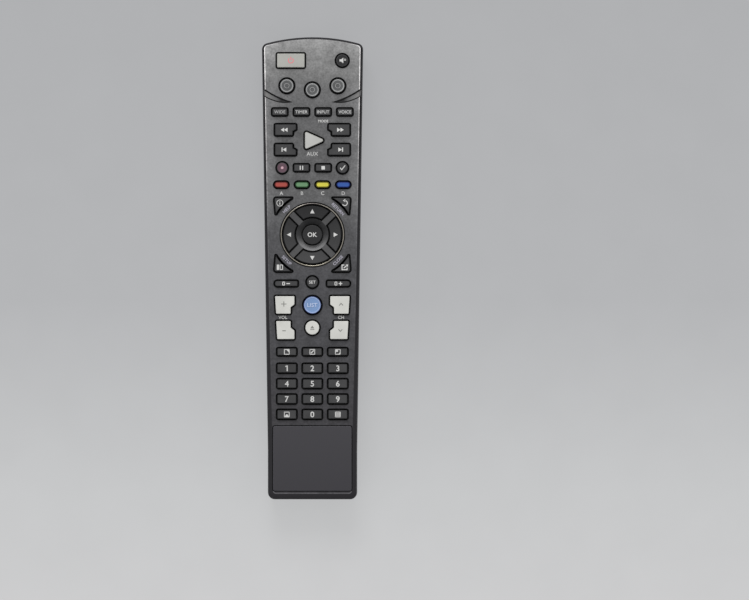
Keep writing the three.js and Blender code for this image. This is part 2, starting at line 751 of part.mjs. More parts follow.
addKey("page_key_left", pageOutline(1), "darkKey", -PAGE_PLACE, rowPlaces.page);
addKey("page_key_right", pageOutline(-1), "darkKey", PAGE_PLACE, rowPlaces.page);
addKey("favourite_key", circle(FAVOURITE_RADIUS), "darkKey", 0, rowPlaces.page + FAVOURITE_LIFT);
addKey("volume_up_key", rockerOutline(1, false), "creamKey", -ROCKER_PLACE, rowPlaces.rockerUpper, tall);
addKey("volume_down_key", rockerOutline(1, true), "creamKey", -ROCKER_PLACE, rowPlaces.rockerLower, tall);
addKey("channel_up_key", rockerOutline(-1, false), "creamKey", ROCKER_PLACE, rowPlaces.rockerUpper, tall);
addKey("channel_down_key", rockerOutline(-1, true), "creamKey", ROCKER_PLACE, rowPlaces.rockerLower, tall);
addKey("guide_key", circle(GUIDE_RADIUS), "guideKey", 0, rowPlaces.rockerUpper - GUIDE_DROP, tall);
addKey("eject_key", circle(EJECT_RADIUS), "creamKey", 0, rowPlaces.rockerLower + EJECT_LIFT, tall);

[
  ["pad_keys_icons", "icons", ICON_DEPTH],
  ["pad_keys_1_2_3", "digitsFirst", DIGIT_DEPTH],
  ["pad_keys_4_5_6", "digitsSecond", DIGIT_DEPTH],
  ["pad_keys_7_8_9", "digitsThird", DIGIT_DEPTH],
  ["pad_keys_0", "digitsLast", DIGIT_DEPTH],
].forEach(([name, row, depth]) => {
  const outline = rectangle(PAD_KEY_WIDTH, depth, KEY_CORNER, 1);
  addKey(name, outline, "darkKey", 0, rowPlaces[row], { copies: [-PAD_PITCH, 0, PAD_PITCH] });
});

// A cap with its flange, and the stem below it.
function keyCap({ outline, top, stem, caps }, shift) {
  const flange = offset(outline, FLANGE_REACH);
  const crown = offset(outline, -KEY_EDGE);
  const layers = [
    { outline: flange, heights: () => flangeBottom },
    { outline: flange, heights: () => flangeTop },
    { outline, heights: () => flangeTop },
    { outline, heights: (point) => top(point) - KEY_EDGE },
    { outline: crown, heights: top },
  ];
  const cap = stack(layers, caps);
  const post = moved(circle(STEM_RADIUS, STEM_STEPS), ...stem);
  const whole = cap.add(prism(post, stemBottom, flangeTop));
  return whole.translate([shift, 0, 0]);
}

// The caps of one node, joined under the face by a web as thick as their flanges.
function keySolid(key) {
  const caps = key.copies.map((shift) => keyCap(key, shift));
  if (caps.length === 1) {
    return caps[0];
  }
  const reach = Math.max(...key.copies);
  const depth = Math.max(...key.outline.map((point) => point.y));
  const web = box(-reach, reach, -depth, depth, flangeBottom, flangeTop);
  return joined([...caps, web]);
}

keys.forEach((key) => addPart(key.name, keySolid(key), key.finish, key.x, key.y));

// Upper case

function keyHole(key, shift) {
  const outline = moved(offset(key.outline, KEY_CLEARANCE), key.x + shift, key.y);
  return prism(outline, flangeBottom, faceTop + OVERRUN);
}

function ring(outer, inner, z0, z1, steps) {
  const hole = prism(circle(inner, steps), z0 - OVERRUN, z1 + OVERRUN);
  return prism(circle(outer, steps), z0, z1).subtract(hole);
}

function ringGroove() {
  const half = RING_WIDTH / 2 + FIT;
  const bottom = faceTop - RING_DEPTH - SEAT;
  const groove = ring(RING_RADIUS + half, RING_RADIUS - half, bottom, faceTop + OVERRUN, RING_STEPS);
  return groove.translate([0, rowPlaces.navigation, 0]);
}

// The hollow round the middle key, a cone that falls towards it.
function dish() {
  const mouth = circle(DISH_RADIUS, DISH_STEPS);
  const layers = [
    { outline: circle(OK_RADIUS + KEY_CLEARANCE, DISH_STEPS), heights: () => faceTop - DISH_DEPTH },
    { outline: mouth, heights: () => faceTop },
    { outline: mouth, heights: () => faceTop + OVERRUN },
  ];
  return stack(layers).translate([0, rowPlaces.navigation, 0]);
}

// One edge of a crescent, from the side of the case to its tip, with its heights given over the tip.
function grooveEdge(start, bend, lift) {
  const tip = new THREE.Vector2(GROOVE_TIP, rowPlaces.source - GROOVE_TIP_DROP);
  const middle = new THREE.Vector2(bend, tip.y + lift);
  const outer = new THREE.Vector2(GROOVE_OUTER, tip.y + start);
  return new THREE.QuadraticBezierCurve(outer, middle, tip).getPoints(GROOVE_STEPS);
}

// A crescent that is deepest along its upper edge and runs out at its lower one.
function crescent(sideX) {
  const upper = grooveEdge(GROOVE_UPPER_START, GROOVE_UPPER_BEND, GROOVE_UPPER_LIFT);
  const lower = grooveEdge(GROOVE_LOWER_START, GROOVE_LOWER_BEND, -GROOVE_LOWER_DROP);
  const right = [...upper, ...lower.slice(0, -1).reverse()];
  const isUpper = (point) => upper.some((other) => other.x === point.x * sideX && other.y === point.y);
  const depth = ({ x }) => (GROOVE_DEPTH * (x * sideX - GROOVE_TIP)) / (GROOVE_OUTER - GROOVE_TIP);
  const outline = flipped(right, sideX, 1);
  const floor = (point) => faceTop - (isUpper(point) ? GROOVE_DEPTH / 2 + depth(point) / 2 : 0);
  return stack([
    { outline, heights: floor },
    { outline, heights: () => faceTop + OVERRUN },
  ]);
}

const plateOutline = moved(rectangle(PLATE_WIDTH, PLATE_LENGTH, PLATE_CORNER), 0, rowPlaces.plate);
const windowBottom = ledAxis - WINDOW_HEIGHT / 2;
const windowTop = ledAxis + WINDOW_HEIGHT / 2;

// Everything at the head between the window's edges, drawn out by a margin.
function windowBox(margin) {
  const half = WINDOW_WIDTH / 2 + margin;
  return middleBox(half, headEnd - WINDOW_ROOM, headEnd + OVERRUN, windowBottom - margin, windowTop + margin);
}

function upperCase() {
  const holes = keys.flatMap((key) => key.copies.map((shift) => keyHole(key, shift)));
  const platePocket = prism(offset(plateOutline, SEAT), faceTop - PLATE_DEPTH - SEAT, faceTop + OVERRUN);
  const cuts = [...holes, ringGroove(), dish(), crescent(1), crescent(-1), platePocket, windowBox(FIT)];
  return shell.intersect(slab(parting + SEAM / 2, faceTop + OVERRUN)).subtract(joined(cuts));
}

addPart("upper_case", upperCase(), "panel");

// Trim and window in the upper case

const ringBottom = faceTop - RING_DEPTH;
const ringOuter = RING_RADIUS + RING_WIDTH / 2;
const ringInner = RING_RADIUS - RING_WIDTH / 2;
addPart(
  "navigation_ring",
  ring(ringOuter, ringInner, ringBottom, faceTop + RING_RISE, RING_STEPS),
  "chrome",
  0,
  rowPlaces.navigation,
);
addPart("front_plate", prism(plateOutline, faceTop - PLATE_DEPTH, faceTop + PLATE_PROUD), "plate");

function infraredWindow() {
  const flangeInset = WALL + FIT;
  const pane = outside.intersect(windowBox(0));
  const flange = caseBody(flangeInset, FLOOR_SKIN, FACE_SKIN).intersect(windowBox(WINDOW_FLANGE));
  const back = caseBody(flangeInset + WINDOW_FLANGE_THICKNESS, FLOOR_SKIN, FACE_SKIN);
  return pane.add(flange).subtract(back);
}

addPart("infrared_window", infraredWindow(), "window");

// Lower case with its battery well

// The lip stands up inside the upper case and leaves room for the window.
function caseLip() {
  const outerInset = WALL + FIT;
  const low = parting - LIP_HEIGHT;
  const high = parting + LIP_HEIGHT;
  const hollow = prism(plan(outerInset + LIP_THICKNESS), low - OVERRUN, high + OVERRUN);
  const stand = prism(plan(outerInset), low, high);
  const shoulder = prism(plan(WALL / 2), low, parting - SEAM / 2);
  const room = WINDOW_WIDTH / 2 + WINDOW_FLANGE + FIT;
  const gap = middleBox(room, headEnd - WINDOW_ROOM, headEnd + OVERRUN, low - OVERRUN, faceTop);
  return stand.add(shoulder).subtract(hollow).subtract(gap);
}

// The deck over the battery cover and the tray round the batteries.
function batteryTray() {
  const deckHalf = COVER_WIDTH / 2 + COVER_TONGUE + FIT + WALL;
  const deckTop = FLOOR_SKIN + FIT + TRAY_SKIN;
  const deck = middleBox(deckHalf, tailEnd, coverHead + FIT + WALL, 0, deckTop);
  const tray = middleBox(wellHalfWidth + WALL, wellTail - WALL, wellHead + WALL, 0, trayCeiling + TRAY_SKIN);
  return deck.add(tray).intersect(core);
}

function boardPosts() {
  const posts = POST_ROW_SHARES.flatMap((share) => {
    return [-1, 1].map((side) => {
      const outline = moved(circle(POST_RADIUS, POST_STEPS), side * POST_PLACE, caseLength * share);
      return prism(outline, 0, boardBottom - SEAT);
    });
  });
  return joined(posts).intersect(core);
}

// The room of the battery cover and its tongues, drawn out by a margin.
function coverRoom(margin) {
  const half = COVER_WIDTH / 2 + margin;
  const head = coverHead + margin;
  const tail = tailEnd - OVERRUN;
  const tongueBottom = FLOOR_SKIN - TONGUE_THICKNESS - margin;
  return joined([
    middleBox(half, tail, head, -OVERRUN, FLOOR_SKIN + margin),
    middleBox(half + COVER_TONGUE, tail, head, tongueBottom, FLOOR_SKIN + margin),
    middleBox(half, tail, tailEnd + COVER_LIP_THICKNESS + margin, -OVERRUN, COVER_LIP_HEIGHT + margin),
  ]);
}

function tabSlot(x) {
  const half = TAB_WIDTH / 2 + FIT;
  const back = wellHead - SEAT - CONTACT_THICKNESS - FIT;
  return box(x - half, x + half, back, wellHead, batteryAxis, boardBottom);
}

function lowerCase() {
  const wall = shell.intersect(slab(-OVERRUN, parting - SEAM / 2));
  const well = middleBox(wellHalfWidth, wellTail, wellHead, -OVERRUN, trayCeiling);
  const body = joined([wall, caseLip(), batteryTray(), boardPosts()]);
  const cuts = [coverRoom(FIT), well, tabSlot(-batteryPlace), tabSlot(batteryPlace), windowBox(FIT)];
  return body.subtract(joined(cuts));
}

addPart("lower_case", lowerCase(), "shell");

function gripGrooves() {
  const grooves = Array.from({ length: GRIP_GROOVES }, (_, i) => {
    const y = tailEnd + BELLY_REACH + GRIP_MARGIN + i * GRIP_PITCH;
    return middleBox(GRIP_WIDTH / 2, y, y + GRIP_GROOVE_WIDTH, -OVERRUN, GRIP_GROOVE_DEPTH);
  });
  return joined(grooves);
}

addPart("battery_cover", coverRoom(0).intersect(outside).subtract(gripGrooves()), "shell");

// Batteries and contacts

function battery() {
  const radius = BATTERY_DIAMETER / 2;
  const half = BATTERY_LENGTH / 2;
  const shoulder = half - NUB_LENGTH;
  const profile = [
    [0, -half],
    [radius - BATTERY_EDGE, -half],
    [radius, BATTERY_EDGE - half],
    [radius, shoulder - BATTERY_EDGE],
    [radius - BATTERY_EDGE, shoulder],
    [NUB_RADIUS, shoulder],
    [NUB_RADIUS, half],
    [0, half],
  ];
  return turned(profile.map(([x, y]) => new THREE.Vector2(x, y)), BATTERY_STEPS);
}

// The left battery's raised end faces the head and the right one's faces the tail.
const contactRoom = SEAT + CONTACT_THICKNESS + FIT;
const leftBatteryY = wellHead - contactRoom - BATTERY_LENGTH / 2;
const rightBatteryY = wellTail + contactRoom + BATTERY_LENGTH / 2;
addPart("battery_left", battery(), "battery", -batteryPlace, leftBatteryY, batteryAxis);
addPart("battery_right", battery().rotate([180, 0, 0]), "battery", batteryPlace, rightBatteryY, batteryAxis);

function springPath() {
  const count = SPRING_TURNS * SPRING_STEPS;
  const wire = SPRING_WIRE / 2;
  return Array.from({ length: count + 1 }, (_, i) => {
    const share = i / count;
    const radius = THREE.MathUtils.lerp(SPRING_WIDE, SPRING_NARROW, share);
    return { angle: (2 * Math.PI * i) / SPRING_STEPS, radius, along: (SPRING_LENGTH - wire) * share };
  });
}

// A wire wound round the Y axis that narrows as it goes, from the plate at zero to its free end.
function spring() {
  const rings = springPath().map(({ angle, radius, along }) => {
    return Array.from({ length: SPRING_SIDES }, (_, k) => {
      const turn = (2 * Math.PI * k) / SPRING_SIDES;
      const out = radius + (SPRING_WIRE / 2) * Math.cos(turn);
      const y = along + (SPRING_WIRE / 2) * Math.sin(turn);
      return [out * Math.cos(angle), y, out * Math.sin(angle)];
    });
  });
  const positions = [];
  const put = (...points) => points.forEach((point) => positions.push(...point));
  for (let i = 0; i + 1 < rings.length; i++) {
    for (let k = 0; k < SPRING_SIDES; k++) {
      const next = (k + 1) % SPRING_SIDES;
      put(rings[i][k], rings[i][next], rings[i + 1][next]);
      put(rings[i][k], rings[i + 1][next], rings[i + 1][k]);
    }
  }
  const last = rings[rings.length - 1];
  for (let k = 1; k + 1 < SPRING_SIDES; k++) {
    put(rings[0][0], rings[0][k + 1], rings[0][k]);
    put(last[0], last[k], last[k + 1]);
  }
  return solidFromTriangles(positions);
}

// The least clear distance between two turns of the spring.
function springGap() {
  const points = springPath().map(({ angle, radius, along }) => {
    return new THREE.Vector3(radius * Math.cos(angle), along, radius * Math.sin(angle));
  });
  let least = Infinity;
  points.forEach((point, i) => {
    points.slice(i + SPRING_STEPS / 2).forEach((other) => {
      least = Math.min(least, point.distanceTo(other) - SPRING_WIRE);
    });
  });
  return least;
}

console.log(`battery spring: least gap between turns ${springGap().toFixed(2)} mm`);

const plateLow = batteryAxis - CONTACT_HEIGHT / 2;
const plateHigh = batteryAxis + CONTACT_HEIGHT / 2;
const headPlate = wellHead - SEAT - CONTACT_THICKNESS;
const tailPlate = wellTail + SEAT;

function contactPlate(x, halfWidth, y) {
  return box(x - halfWidth, x + halfWidth, y, y + CONTACT_THICKNESS, plateLow, plateHigh);
}

// A plate at the head end of the well, with the tab that reaches the board.
function headContact(x) {
  const half = TAB_WIDTH / 2;
  const back = headPlate + CONTACT_THICKNESS;
  const tab = box(x - half, x + half, headPlate, back, batteryAxis, boardBottom - SEAT);
  return contactPlate(x, CONTACT_WIDTH / 2, headPlate).add(tab);
}

addPart("contact_positive", headContact(-batteryPlace), "contact");
const headSpring = spring().rotate([180, 0, 0]).translate([batteryPlace, headPlate, batteryAxis]);
addPart("contact_negative", headContact(batteryPlace).add(headSpring), "contact");
const tailSpring = spring().translate([-batteryPlace, tailPlate + CONTACT_THICKNESS, batteryAxis]);
addPart("contact_bridge", contactPlate(0, wellHalfWidth - FIT, tailPlate).add(tailSpring), "contact");

// Circuit board with its chip and infrared diode, and the keypad mat

function sheet(z0, z1) {
  const cut = middleBox(HEAD_WIDTH, tailEnd - OVERRUN, boardTail, z0 - OVERRUN, z1 + OVERRUN);
  return prism(plan(BOARD_INSET), z0, z1).subtract(cut);
}

addPart("circuit_board", sheet(boardBottom, boardTop), "board");

function keypadMat() {
  const wells = keys.flatMap(({ x, y, stem, copies }) => {
    return copies.map((shift) => {
      const outline = circle(STEM_RADIUS + STEM_CLEARANCE, STEM_STEPS);
      return prism(moved(outline, x + stem[0] + shift, y + stem[1]), matBottom - OVERRUN, matTop + OVERRUN);
    });
  });
  return sheet(matBottom, matTop).subtract(joined(wells));
}

addPart("keypad_mat", keypadMat(), "rubber");

// The chip hangs under the board, with its legs up against it.
function controlChip() {
  const top = boardBottom - SEAT;
  const half = CHIP_LENGTH / 2;
  const body = middleBox(CHIP_WIDTH / 2, -half, half, top - CHIP_HEIGHT, top - SEAT);
  const legs = Array.from({ length: CHIP_LEGS }, (_, i) => {
    const y = (i - (CHIP_LEGS - 1) / 2) * CHIP_LEG_PITCH;
    const reach = CHIP_WIDTH / 2 + CHIP_LEG_REACH;
    return middleBox(reach, y - CHIP_LEG_WIDTH / 2, y + CHIP_LEG_WIDTH / 2, top - CHIP_LEG_HEIGHT, top);
  });
  return joined([body, ...legs]);
}

addPart("control_chip", controlChip(), "chip", 0, caseLength * CHIP_SHARE);

// The diode points along Y, with its leads bent up to the board.
function infraredDiode() {
  const dome = Array.from({ length: LED_DOME_STEPS + 1 }, (_, i) => {
    const angle = (Math.PI / 2) * (i / LED_DOME_STEPS);
    const x = i === LED_DOME_STEPS ? 0 : LED_RADIUS * Math.cos(angle);
    return [x, LED_LENGTH - LED_RADIUS + LED_RADIUS * Math.sin(angle)];
  });
  const rim = LED_RADIUS + LED_RIM;
  const profile = [[0, 0], [rim, 0], [rim, LED_RIM_LENGTH], [LED_RADIUS, LED_RIM_LENGTH], ...dome];
  const body = turned(profile.map(([x, y]) => new THREE.Vector2(x, y)), LED_STEPS);
  const half = LEAD_WIDTH / 2;
  const leads = [-1, 1].flatMap((side) => {
    const x = (side * LEAD_SPACING) / 2;
    const up = boardBottom - SEAT - ledAxis;
    return [
      box(x - half, x + half, -LEAD_LENGTH, LED_RIM_LENGTH / 2, -half, half),
      box(x - half, x + half, -LEAD_LENGTH, LEAD_WIDTH - LEAD_LENGTH, -half, up),
    ];
  });
  return joined([body, ...leads]);
}

const ledPlace = headEnd - WALL - FIT - WINDOW_FLANGE_THICKNESS - FIT - LED_LENGTH;
addPart("infrared_led", infraredDiode(), "led", 0, ledPlace, ledAxis);

export default remote;
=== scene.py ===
# A television remote control that lies on its back on a pale floor, seen from above.
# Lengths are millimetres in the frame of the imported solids, and they become metres where a mesh is made.

from math import asin, atan2, cos, hypot, pi, radians, sin, sqrt, tan

import bpy
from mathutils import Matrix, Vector


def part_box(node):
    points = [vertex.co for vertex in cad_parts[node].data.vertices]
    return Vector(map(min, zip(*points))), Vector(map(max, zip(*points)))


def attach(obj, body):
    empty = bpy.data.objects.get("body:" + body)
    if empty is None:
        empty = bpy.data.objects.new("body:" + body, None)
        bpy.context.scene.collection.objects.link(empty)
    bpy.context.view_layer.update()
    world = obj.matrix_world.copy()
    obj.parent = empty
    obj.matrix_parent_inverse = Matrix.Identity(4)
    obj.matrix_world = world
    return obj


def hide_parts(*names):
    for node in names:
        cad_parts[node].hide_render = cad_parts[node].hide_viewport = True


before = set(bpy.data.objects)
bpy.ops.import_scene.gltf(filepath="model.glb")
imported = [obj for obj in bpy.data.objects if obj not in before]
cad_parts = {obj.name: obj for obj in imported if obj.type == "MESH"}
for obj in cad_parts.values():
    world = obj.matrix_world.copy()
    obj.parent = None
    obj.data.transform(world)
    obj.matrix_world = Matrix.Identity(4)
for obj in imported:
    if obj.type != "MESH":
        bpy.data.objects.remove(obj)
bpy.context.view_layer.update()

MM = 0.001

# Camera, floor and light
SENSOR = 36
PICTURE_WIDTH = 355.8
CAMERA_DISTANCE = 2600
PICTURE_MIDDLE = Vector((29.5, -15.1, 18))
FLOOR_SIZE = 4000
FLOOR_NEAR = -170
FLOOR_FAR = 140
# Painted fall of light on the floor: lighter on the tail's side, darker beyond the head
FLOOR_LIGHT_FALL_STOPS = [(0, (206, 206, 207)), (0.2, (200, 201, 202)), (0.5, (181, 182, 184)), (1, (174, 175, 177))]
FLOOR_SCALE = 40
FLOOR_VARIATION = 0.01
FLOOR_GLOW_SHARE = 0.78
WORLD_LEVEL = 0.64
WORLD_SEEN = 0.75
LAMP_PLACE = (-150, 1150, 1000)
LAMP_SIZE = 900
LAMP_POWER = 14

# Fits and fine edges
FIT = 0.3
SEAT = 0.15
KEY_CLEARANCE = 0.45
OVERRUN = 2
CHAMFER = 0.18
SHARP_ANGLE = radians(38)

# Case
HEAD_WIDTH = 48.18
TAIL_WIDTH = 42.5
TAPER_END_SHARE = -0.393
HEAD_ARC_RADIUS = 84
HEAD_CORNER = 3
TAIL_CORNER = 3.4
LEAST_CORNER = 1.2
WALL = 1.8
FACE_SKIN = 1.8
FRONT_DRAFT = 0.25
FILLET_HEIGHT = 1.9
FILLET_HEAD = 1
FILLET_TAIL = 2.4
TAIL_RUN = 0.3
PANEL_STEP = 0.16
PANEL_BEVEL = 0.35
CORNER_STEPS = 10
HEAD_ARC_STEPS = 24
SIDE_STEPS = 12
FILLET_STEPS = 7
WINDOW_FLANGE = 1.1

# Keys
FLANGE_THICKNESS = 0.7
FLANGE_REACH = 0.6
STEM_RADIUS = 1.3
STEM_STEPS = 12
KEY_EDGE = 0.28
COLOUR_KEY_EDGE = 0.5
KEY_CORNER = 0.6
LEAST_ROUND = 0.06
CAP_INSET = 0.2
KEY_EDGE_STEPS = 4
KEY_CORNER_STEPS = 5
ROUND_STEPS = 64
SKIP_NOTCH = 1.6
ROCKER_WIDTH = 9.6
ROCKER_NOTCH = 1.8
ROCKER_SLANT = 0.55
ROCKER_PLACE = 13.1
UPPER_ROCKER_TRIM = 0.5
LOWER_ROCKER_TRIM = 0.25
NOTCH_SHARES = (0.02, -0.14)
NOTCH_CORNER = 0
PLAY_LENGTH = 10.3
PLAY_HALF = 4.65
PLAY_CORNER = 0.9
PAGE_CORNER = 1.3
PAD_PITCH = 12.1
PAD_COLUMNS = (-PAD_PITCH, 0, PAD_PITCH)
PAD_KEY_WIDTH = 9.3
RIM_WIDTH = 0.7
RIM_STEP = 0.16

# Navigation keys
SECTOR_OUTER = 13.9
SECTOR_INNER = 8.2
SPOKE_WIDTH = 3.9
SECTOR_SLOPE = 0.8
SECTOR_STEPS = 20
CORNER_KEY_WIDTH = 18.2
CORNER_KEY_HEIGHT = 17.6
CORNER_KEY_RADIUS = 19.6
CORNER_KEY_BLUNT = 0.5
BLUNT_LEAN_SHARE = 0.3
CORNER_KEY_SLANT = 0.7
CORNER_KEY_CORNER = 1
CORNER_KEY_TIP = 0.15
CORNER_KEY_STEM = 14.8
RING_WIDTH = 0.65
RING_DEPTH = 0.7
RING_GROOVE = 0.5
RING_STEPS = 8
DISH_RADIUS = 7.6
DISH_DEPTH = 1.3
FLOOR_STEP = 0.06

# Plate and crescents
PLATE_CORNER = 1.2
PLATE_DEPTH = 1
PLATE_EDGE = 0.25
PLATE_INSET = 0.25
GROOVE_TIP = 9.2
GROOVE_OUTER = 24
GROOVE_TIP_DROP = 7.7
GROOVE_UPPER_START = 7.3
GROOVE_UPPER_BEND = 18
GROOVE_UPPER_LIFT = 2.6
GROOVE_LOWER_START = 3.2
GROOVE_LOWER_BEND = 15.9
GROOVE_LOWER_DROP = 1.8
GROOVE_DEPTH = 0.8
GROOVE_TIP_SHARE = 0.4
GROOVE_LOWER_DEPTH = 0.4
GROOVE_WALL = 0.85
GROOVE_WALL_SHARE = 0.52
GROOVE_LIP = 0.6
GROOVE_LIP_SHARE = 0.42
GROOVE_STEPS = 20

# Printed signs
PRINT_RISE = 0.02
PRINT_SINK = 0.05
PRINT_ROOM = 0.04
SIGN_CORNER = 0.1
SIGN_STEPS = 32
CAPITAL_SHARE = 0.72
LETTER_WEIGHT_SHARE = 0.026
LETTER_SPACING = 1.05
LETTER_STEPS = 6
DIGIT_HEIGHT = 2.7
SKIP_SIGN_SHIFT = 0.7
ARROW_REACH = 11.1
CORNER_SIGN_PLACE = 15.4
UPPER_CORNER_SIGN = 15
LOWER_CORNER_SIGN = -15.45
VOLUME_LABEL_PLACE = -14
CHANNEL_LABEL_PLACE = 13.6
COLOUR_LABEL_DROP = 4
INPUT_LABEL_DROP = 6.35
MODE_LABEL_PLACE = 5.2
MODE_LABEL_DROP = 4.3
WHEEL_LABEL_REACH = 17.2

# Finishes
GLOSS = 0.2
FINE_SCALE = 2600
FINE_DEPTH = 0.012
FINE_VARIATION = 0.08
GLOSS_RANGE = (-0.06, 0.08)
FLAKE_GLOSS_RANGE = (-0.08, 0.08)
DRIFT_SCALE = 120
COARSE_SCALE = 320
FLAKE_SCALE = 1100
TRACK_SCALE = 160
TRACK_BEND = 6
SIDE_SHEEN_START = 14

# Stops of (share, colour or lift) along a part from the tail's side, and for the crescents from their tips
# The face darkens from the head to the tail, partly as a fade of its paint and partly as a painted sheen from
# the light at the head
PANEL_FADE_AND_SHEEN_STOPS = [
    (0, (62, 61, 64)), (0.2, (64, 63, 66)), (0.35, (72, 72, 75)), (0.46, (74, 74, 77)), (0.58, (80, 80, 82)),
    (0.66, (94, 94, 95)), (0.82, (96, 96, 97)), (0.87, (104, 104, 105)), (0.92, (118, 118, 118)),
    (1, (148, 148, 148)),
]
# A painted highlight along the panel's bevelled edge, brightest towards the head
EDGE_HIGHLIGHT_STOPS = [
    (0, (104, 103, 106)), (0.018, (98, 97, 100)), (0.03, (58, 57, 60)), (0.2, (62, 61, 64)),
    (0.6, (94, 94, 96)), (0.68, (126, 125, 126)), (0.78, (160, 158, 158)), (0.88, (196, 194, 194)),
    (0.93, (228, 226, 226)), (0.975, (232, 230, 230)), (0.985, (150, 150, 150)),
]
# Painted sheen that lifts the face's sides towards the head
SIDE_SHEEN_STOPS = [(0.54, 0), (0.64, 0.5), (0.84, 0.55), (0.92, 0.2)]
# Painted shade on the crescents' floors, darkest where they narrow to their tips
GROOVE_SHADE_STOPS = [
    (0.38, (14, 14, 15)), (0.52, (86, 86, 87)), (0.72, (106, 106, 106)), (0.86, (116, 115, 114)),
    (0.93, (70, 70, 71)),
]
# Painted reflection on the chrome ring: lighter on the tail's side, dark at the top of the head's side
RING_REFLECTION_STOPS = [(0, (172, 167, 152)), (0.1, (158, 153, 143)), (0.95, (160, 155, 146)), (0.985, (92, 88, 86))]


def box_mm(node):
    low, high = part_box(node)
    return low / MM, high / MM


def middle_of(node):
    low, high = box_mm(node)
    return (low + high) / 2


def box_size(name):
    """The width and depth of a key's cap, which is its solid without the flange."""
    low, high = box_mm(name)
    return high.x - low.x - 2 * FLANGE_REACH, high.y - low.y - 2 * FLANGE_REACH


case_low, case_high = box_mm("upper_case")
FACE_TOP = case_high.z
SEAM_TOP = case_low.z
HEAD_END = case_high.y
TAIL_END = case_low.y
CASE_LENGTH = HEAD_END - TAIL_END
FACE_UNDERSIDE = FACE_TOP - FACE_SKIN
FLANGE_TOP = FACE_UNDERSIDE - FIT
FLANGE_BOTTOM = FLANGE_TOP - FLANGE_THICKNESS
navigation = middle_of("navigation_ring")
ring_low, ring_high = box_mm("navigation_ring")
ring_radius = (ring_high.x - ring_low.x) / 2
plate_low, plate_high = box_mm("front_plate")

# Outlines, which run anticlockwise


def arc(radius, start, end, steps):
    angles = [start + (end - start) * i / steps for i in range(steps + 1)]
    return [Vector((radius * cos(angle), radius * sin(angle))) for angle in angles]


def quarter(steps):
    """How far an edge with a quarter round has gone in and up at each of its steps, as shares."""
    angles = [pi / 2 * i / steps for i in range(steps + 1)]
    return [(1 - cos(angle), sin(angle)) for angle in angles]


def circle(radius, steps=ROUND_STEPS):
    return arc(radius, 0, 2 * pi, steps)[:-1]


def moved(outline, x, y):
    return [point + Vector((x, y)) for point in outline]


def turned(outline, angle):
    across = Vector((cos(angle), sin(angle)))
    along = Vector((-sin(angle), cos(angle)))
    return [point.x * across + point.y * along for point in outline]


def flipped(outline, side_x, side_y):
    points = [Vector((point.x * side_x, point.y * side_y)) for point in outline]
    return points if side_x * side_y > 0 else points[::-1]


def offset(outline, distance):
    """Moves every edge of an outline outwards by a distance, or inwards when it is negative."""
    result = []
    for i, point in enumerate(outline):
        before = point - outline[i - 1]
        after = outline[(i + 1) % len(outline)] - point
        first = Vector((before.y, -before.x)).normalized()
        second = Vector((after.y, -after.x)).normalized()
        result.append(point + (first + second) * (distance / (1 + first.dot(second))))
    return result


def polygon(corners, grow=0, steps=KEY_CORNER_STEPS):
    """A polygon grown outwards. Its corners are (x, y, radius), and sharp where the radius is zero."""
    points = offset([Vector(corner[:2]) for corner in corners], grow)
    outline = []
    for i, here in enumerate(points):
        if corners[i][2] == 0:
            outline.append(here)
            continue
        radius = max(corners[i][2] + grow, LEAST_ROUND)
        back = (points[i - 1] - here).normalized()
        ahead = (points[(i + 1) % len(points)] - here).normalized()
        half = back.angle(ahead) / 2
        centre = here + (back + ahead).normalized() * (radius / sin(half))
        start = here + back * (radius / tan(half)) - centre
        sweep = (pi - 2 * half) * (1 if back.cross(ahead) < 0 else -1)
        outline += [turned([start], sweep * k / steps)[0] + centre for k in range(steps + 1)]
    return outline


def rectangle(width, depth, radius=KEY_CORNER, grow=0, steps=KEY_CORNER_STEPS):
    x = width / 2
    y = depth / 2
    return polygon([(-x, -y, radius), (x, -y, radius), (x, y, radius), (-x, y, radius)], grow, steps)


def stadium(width, depth):
    radius = depth / 2
    right = moved(arc(radius, -pi / 2, pi / 2, ROUND_STEPS // 4), width / 2 - radius, 0)
    return right + flipped(right, -1, -1)


def stroke(path, width):
    """The outline of a line of one width along a path."""
    left = []
    right = []
    for i, point in enumerate(path):
        into = (point - path[i - 1]).normalized() if i else None
        out = (path[i + 1] - point).normalized() if i + 1 < len(path) else None
        along = ((into or out) + (out or into)).normalized()
        reach = width / 2 / along.dot(out or into)
        side = Vector((-along.y, along.x)) * reach
        left.append(point + side)
        right.append(point - side)
    return right + left[::-1]


def half_plan(inset, tail_run=0):
    """The right half of the case's outline at an inset, from the tail to the top of the head's arc."""
    tail_x = TAIL_WIDTH / 2 - inset
    head_x = HEAD_WIDTH / 2 - inset
    tail_radius = max(TAIL_CORNER - inset, LEAST_CORNER)
    head_radius = max(HEAD_CORNER - inset, LEAST_CORNER)
    arc_radius = HEAD_ARC_RADIUS - inset
    arc_centre = HEAD_END - HEAD_ARC_RADIUS
    corner_x = head_x - head_radius
    corner_reach = sqrt((arc_radius - head_radius) ** 2 - corner_x ** 2)
    corner_angle = atan2(corner_reach, corner_x)
    taper_end = CASE_LENGTH * TAPER_END_SHARE
    start = Vector((tail_x, taper_end))
    end = Vector((head_x, arc_centre + corner_reach))
    tail_corner = arc(tail_radius, -pi / 2, 0, CORNER_STEPS)
    side = [start.lerp(end, i / SIDE_STEPS) for i in range(SIDE_STEPS)]
    head_corner = arc(head_radius, 0, corner_angle, CORNER_STEPS)
    head = arc(arc_radius, corner_angle, pi / 2, HEAD_ARC_STEPS)[1:]
    return [
        *moved(tail_corner, tail_x - tail_radius, TAIL_END + inset + tail_run + tail_radius),
        *side,
        *moved(head_corner, corner_x, arc_centre + corner_reach),
        *moved(head, 0, arc_centre),
    ]


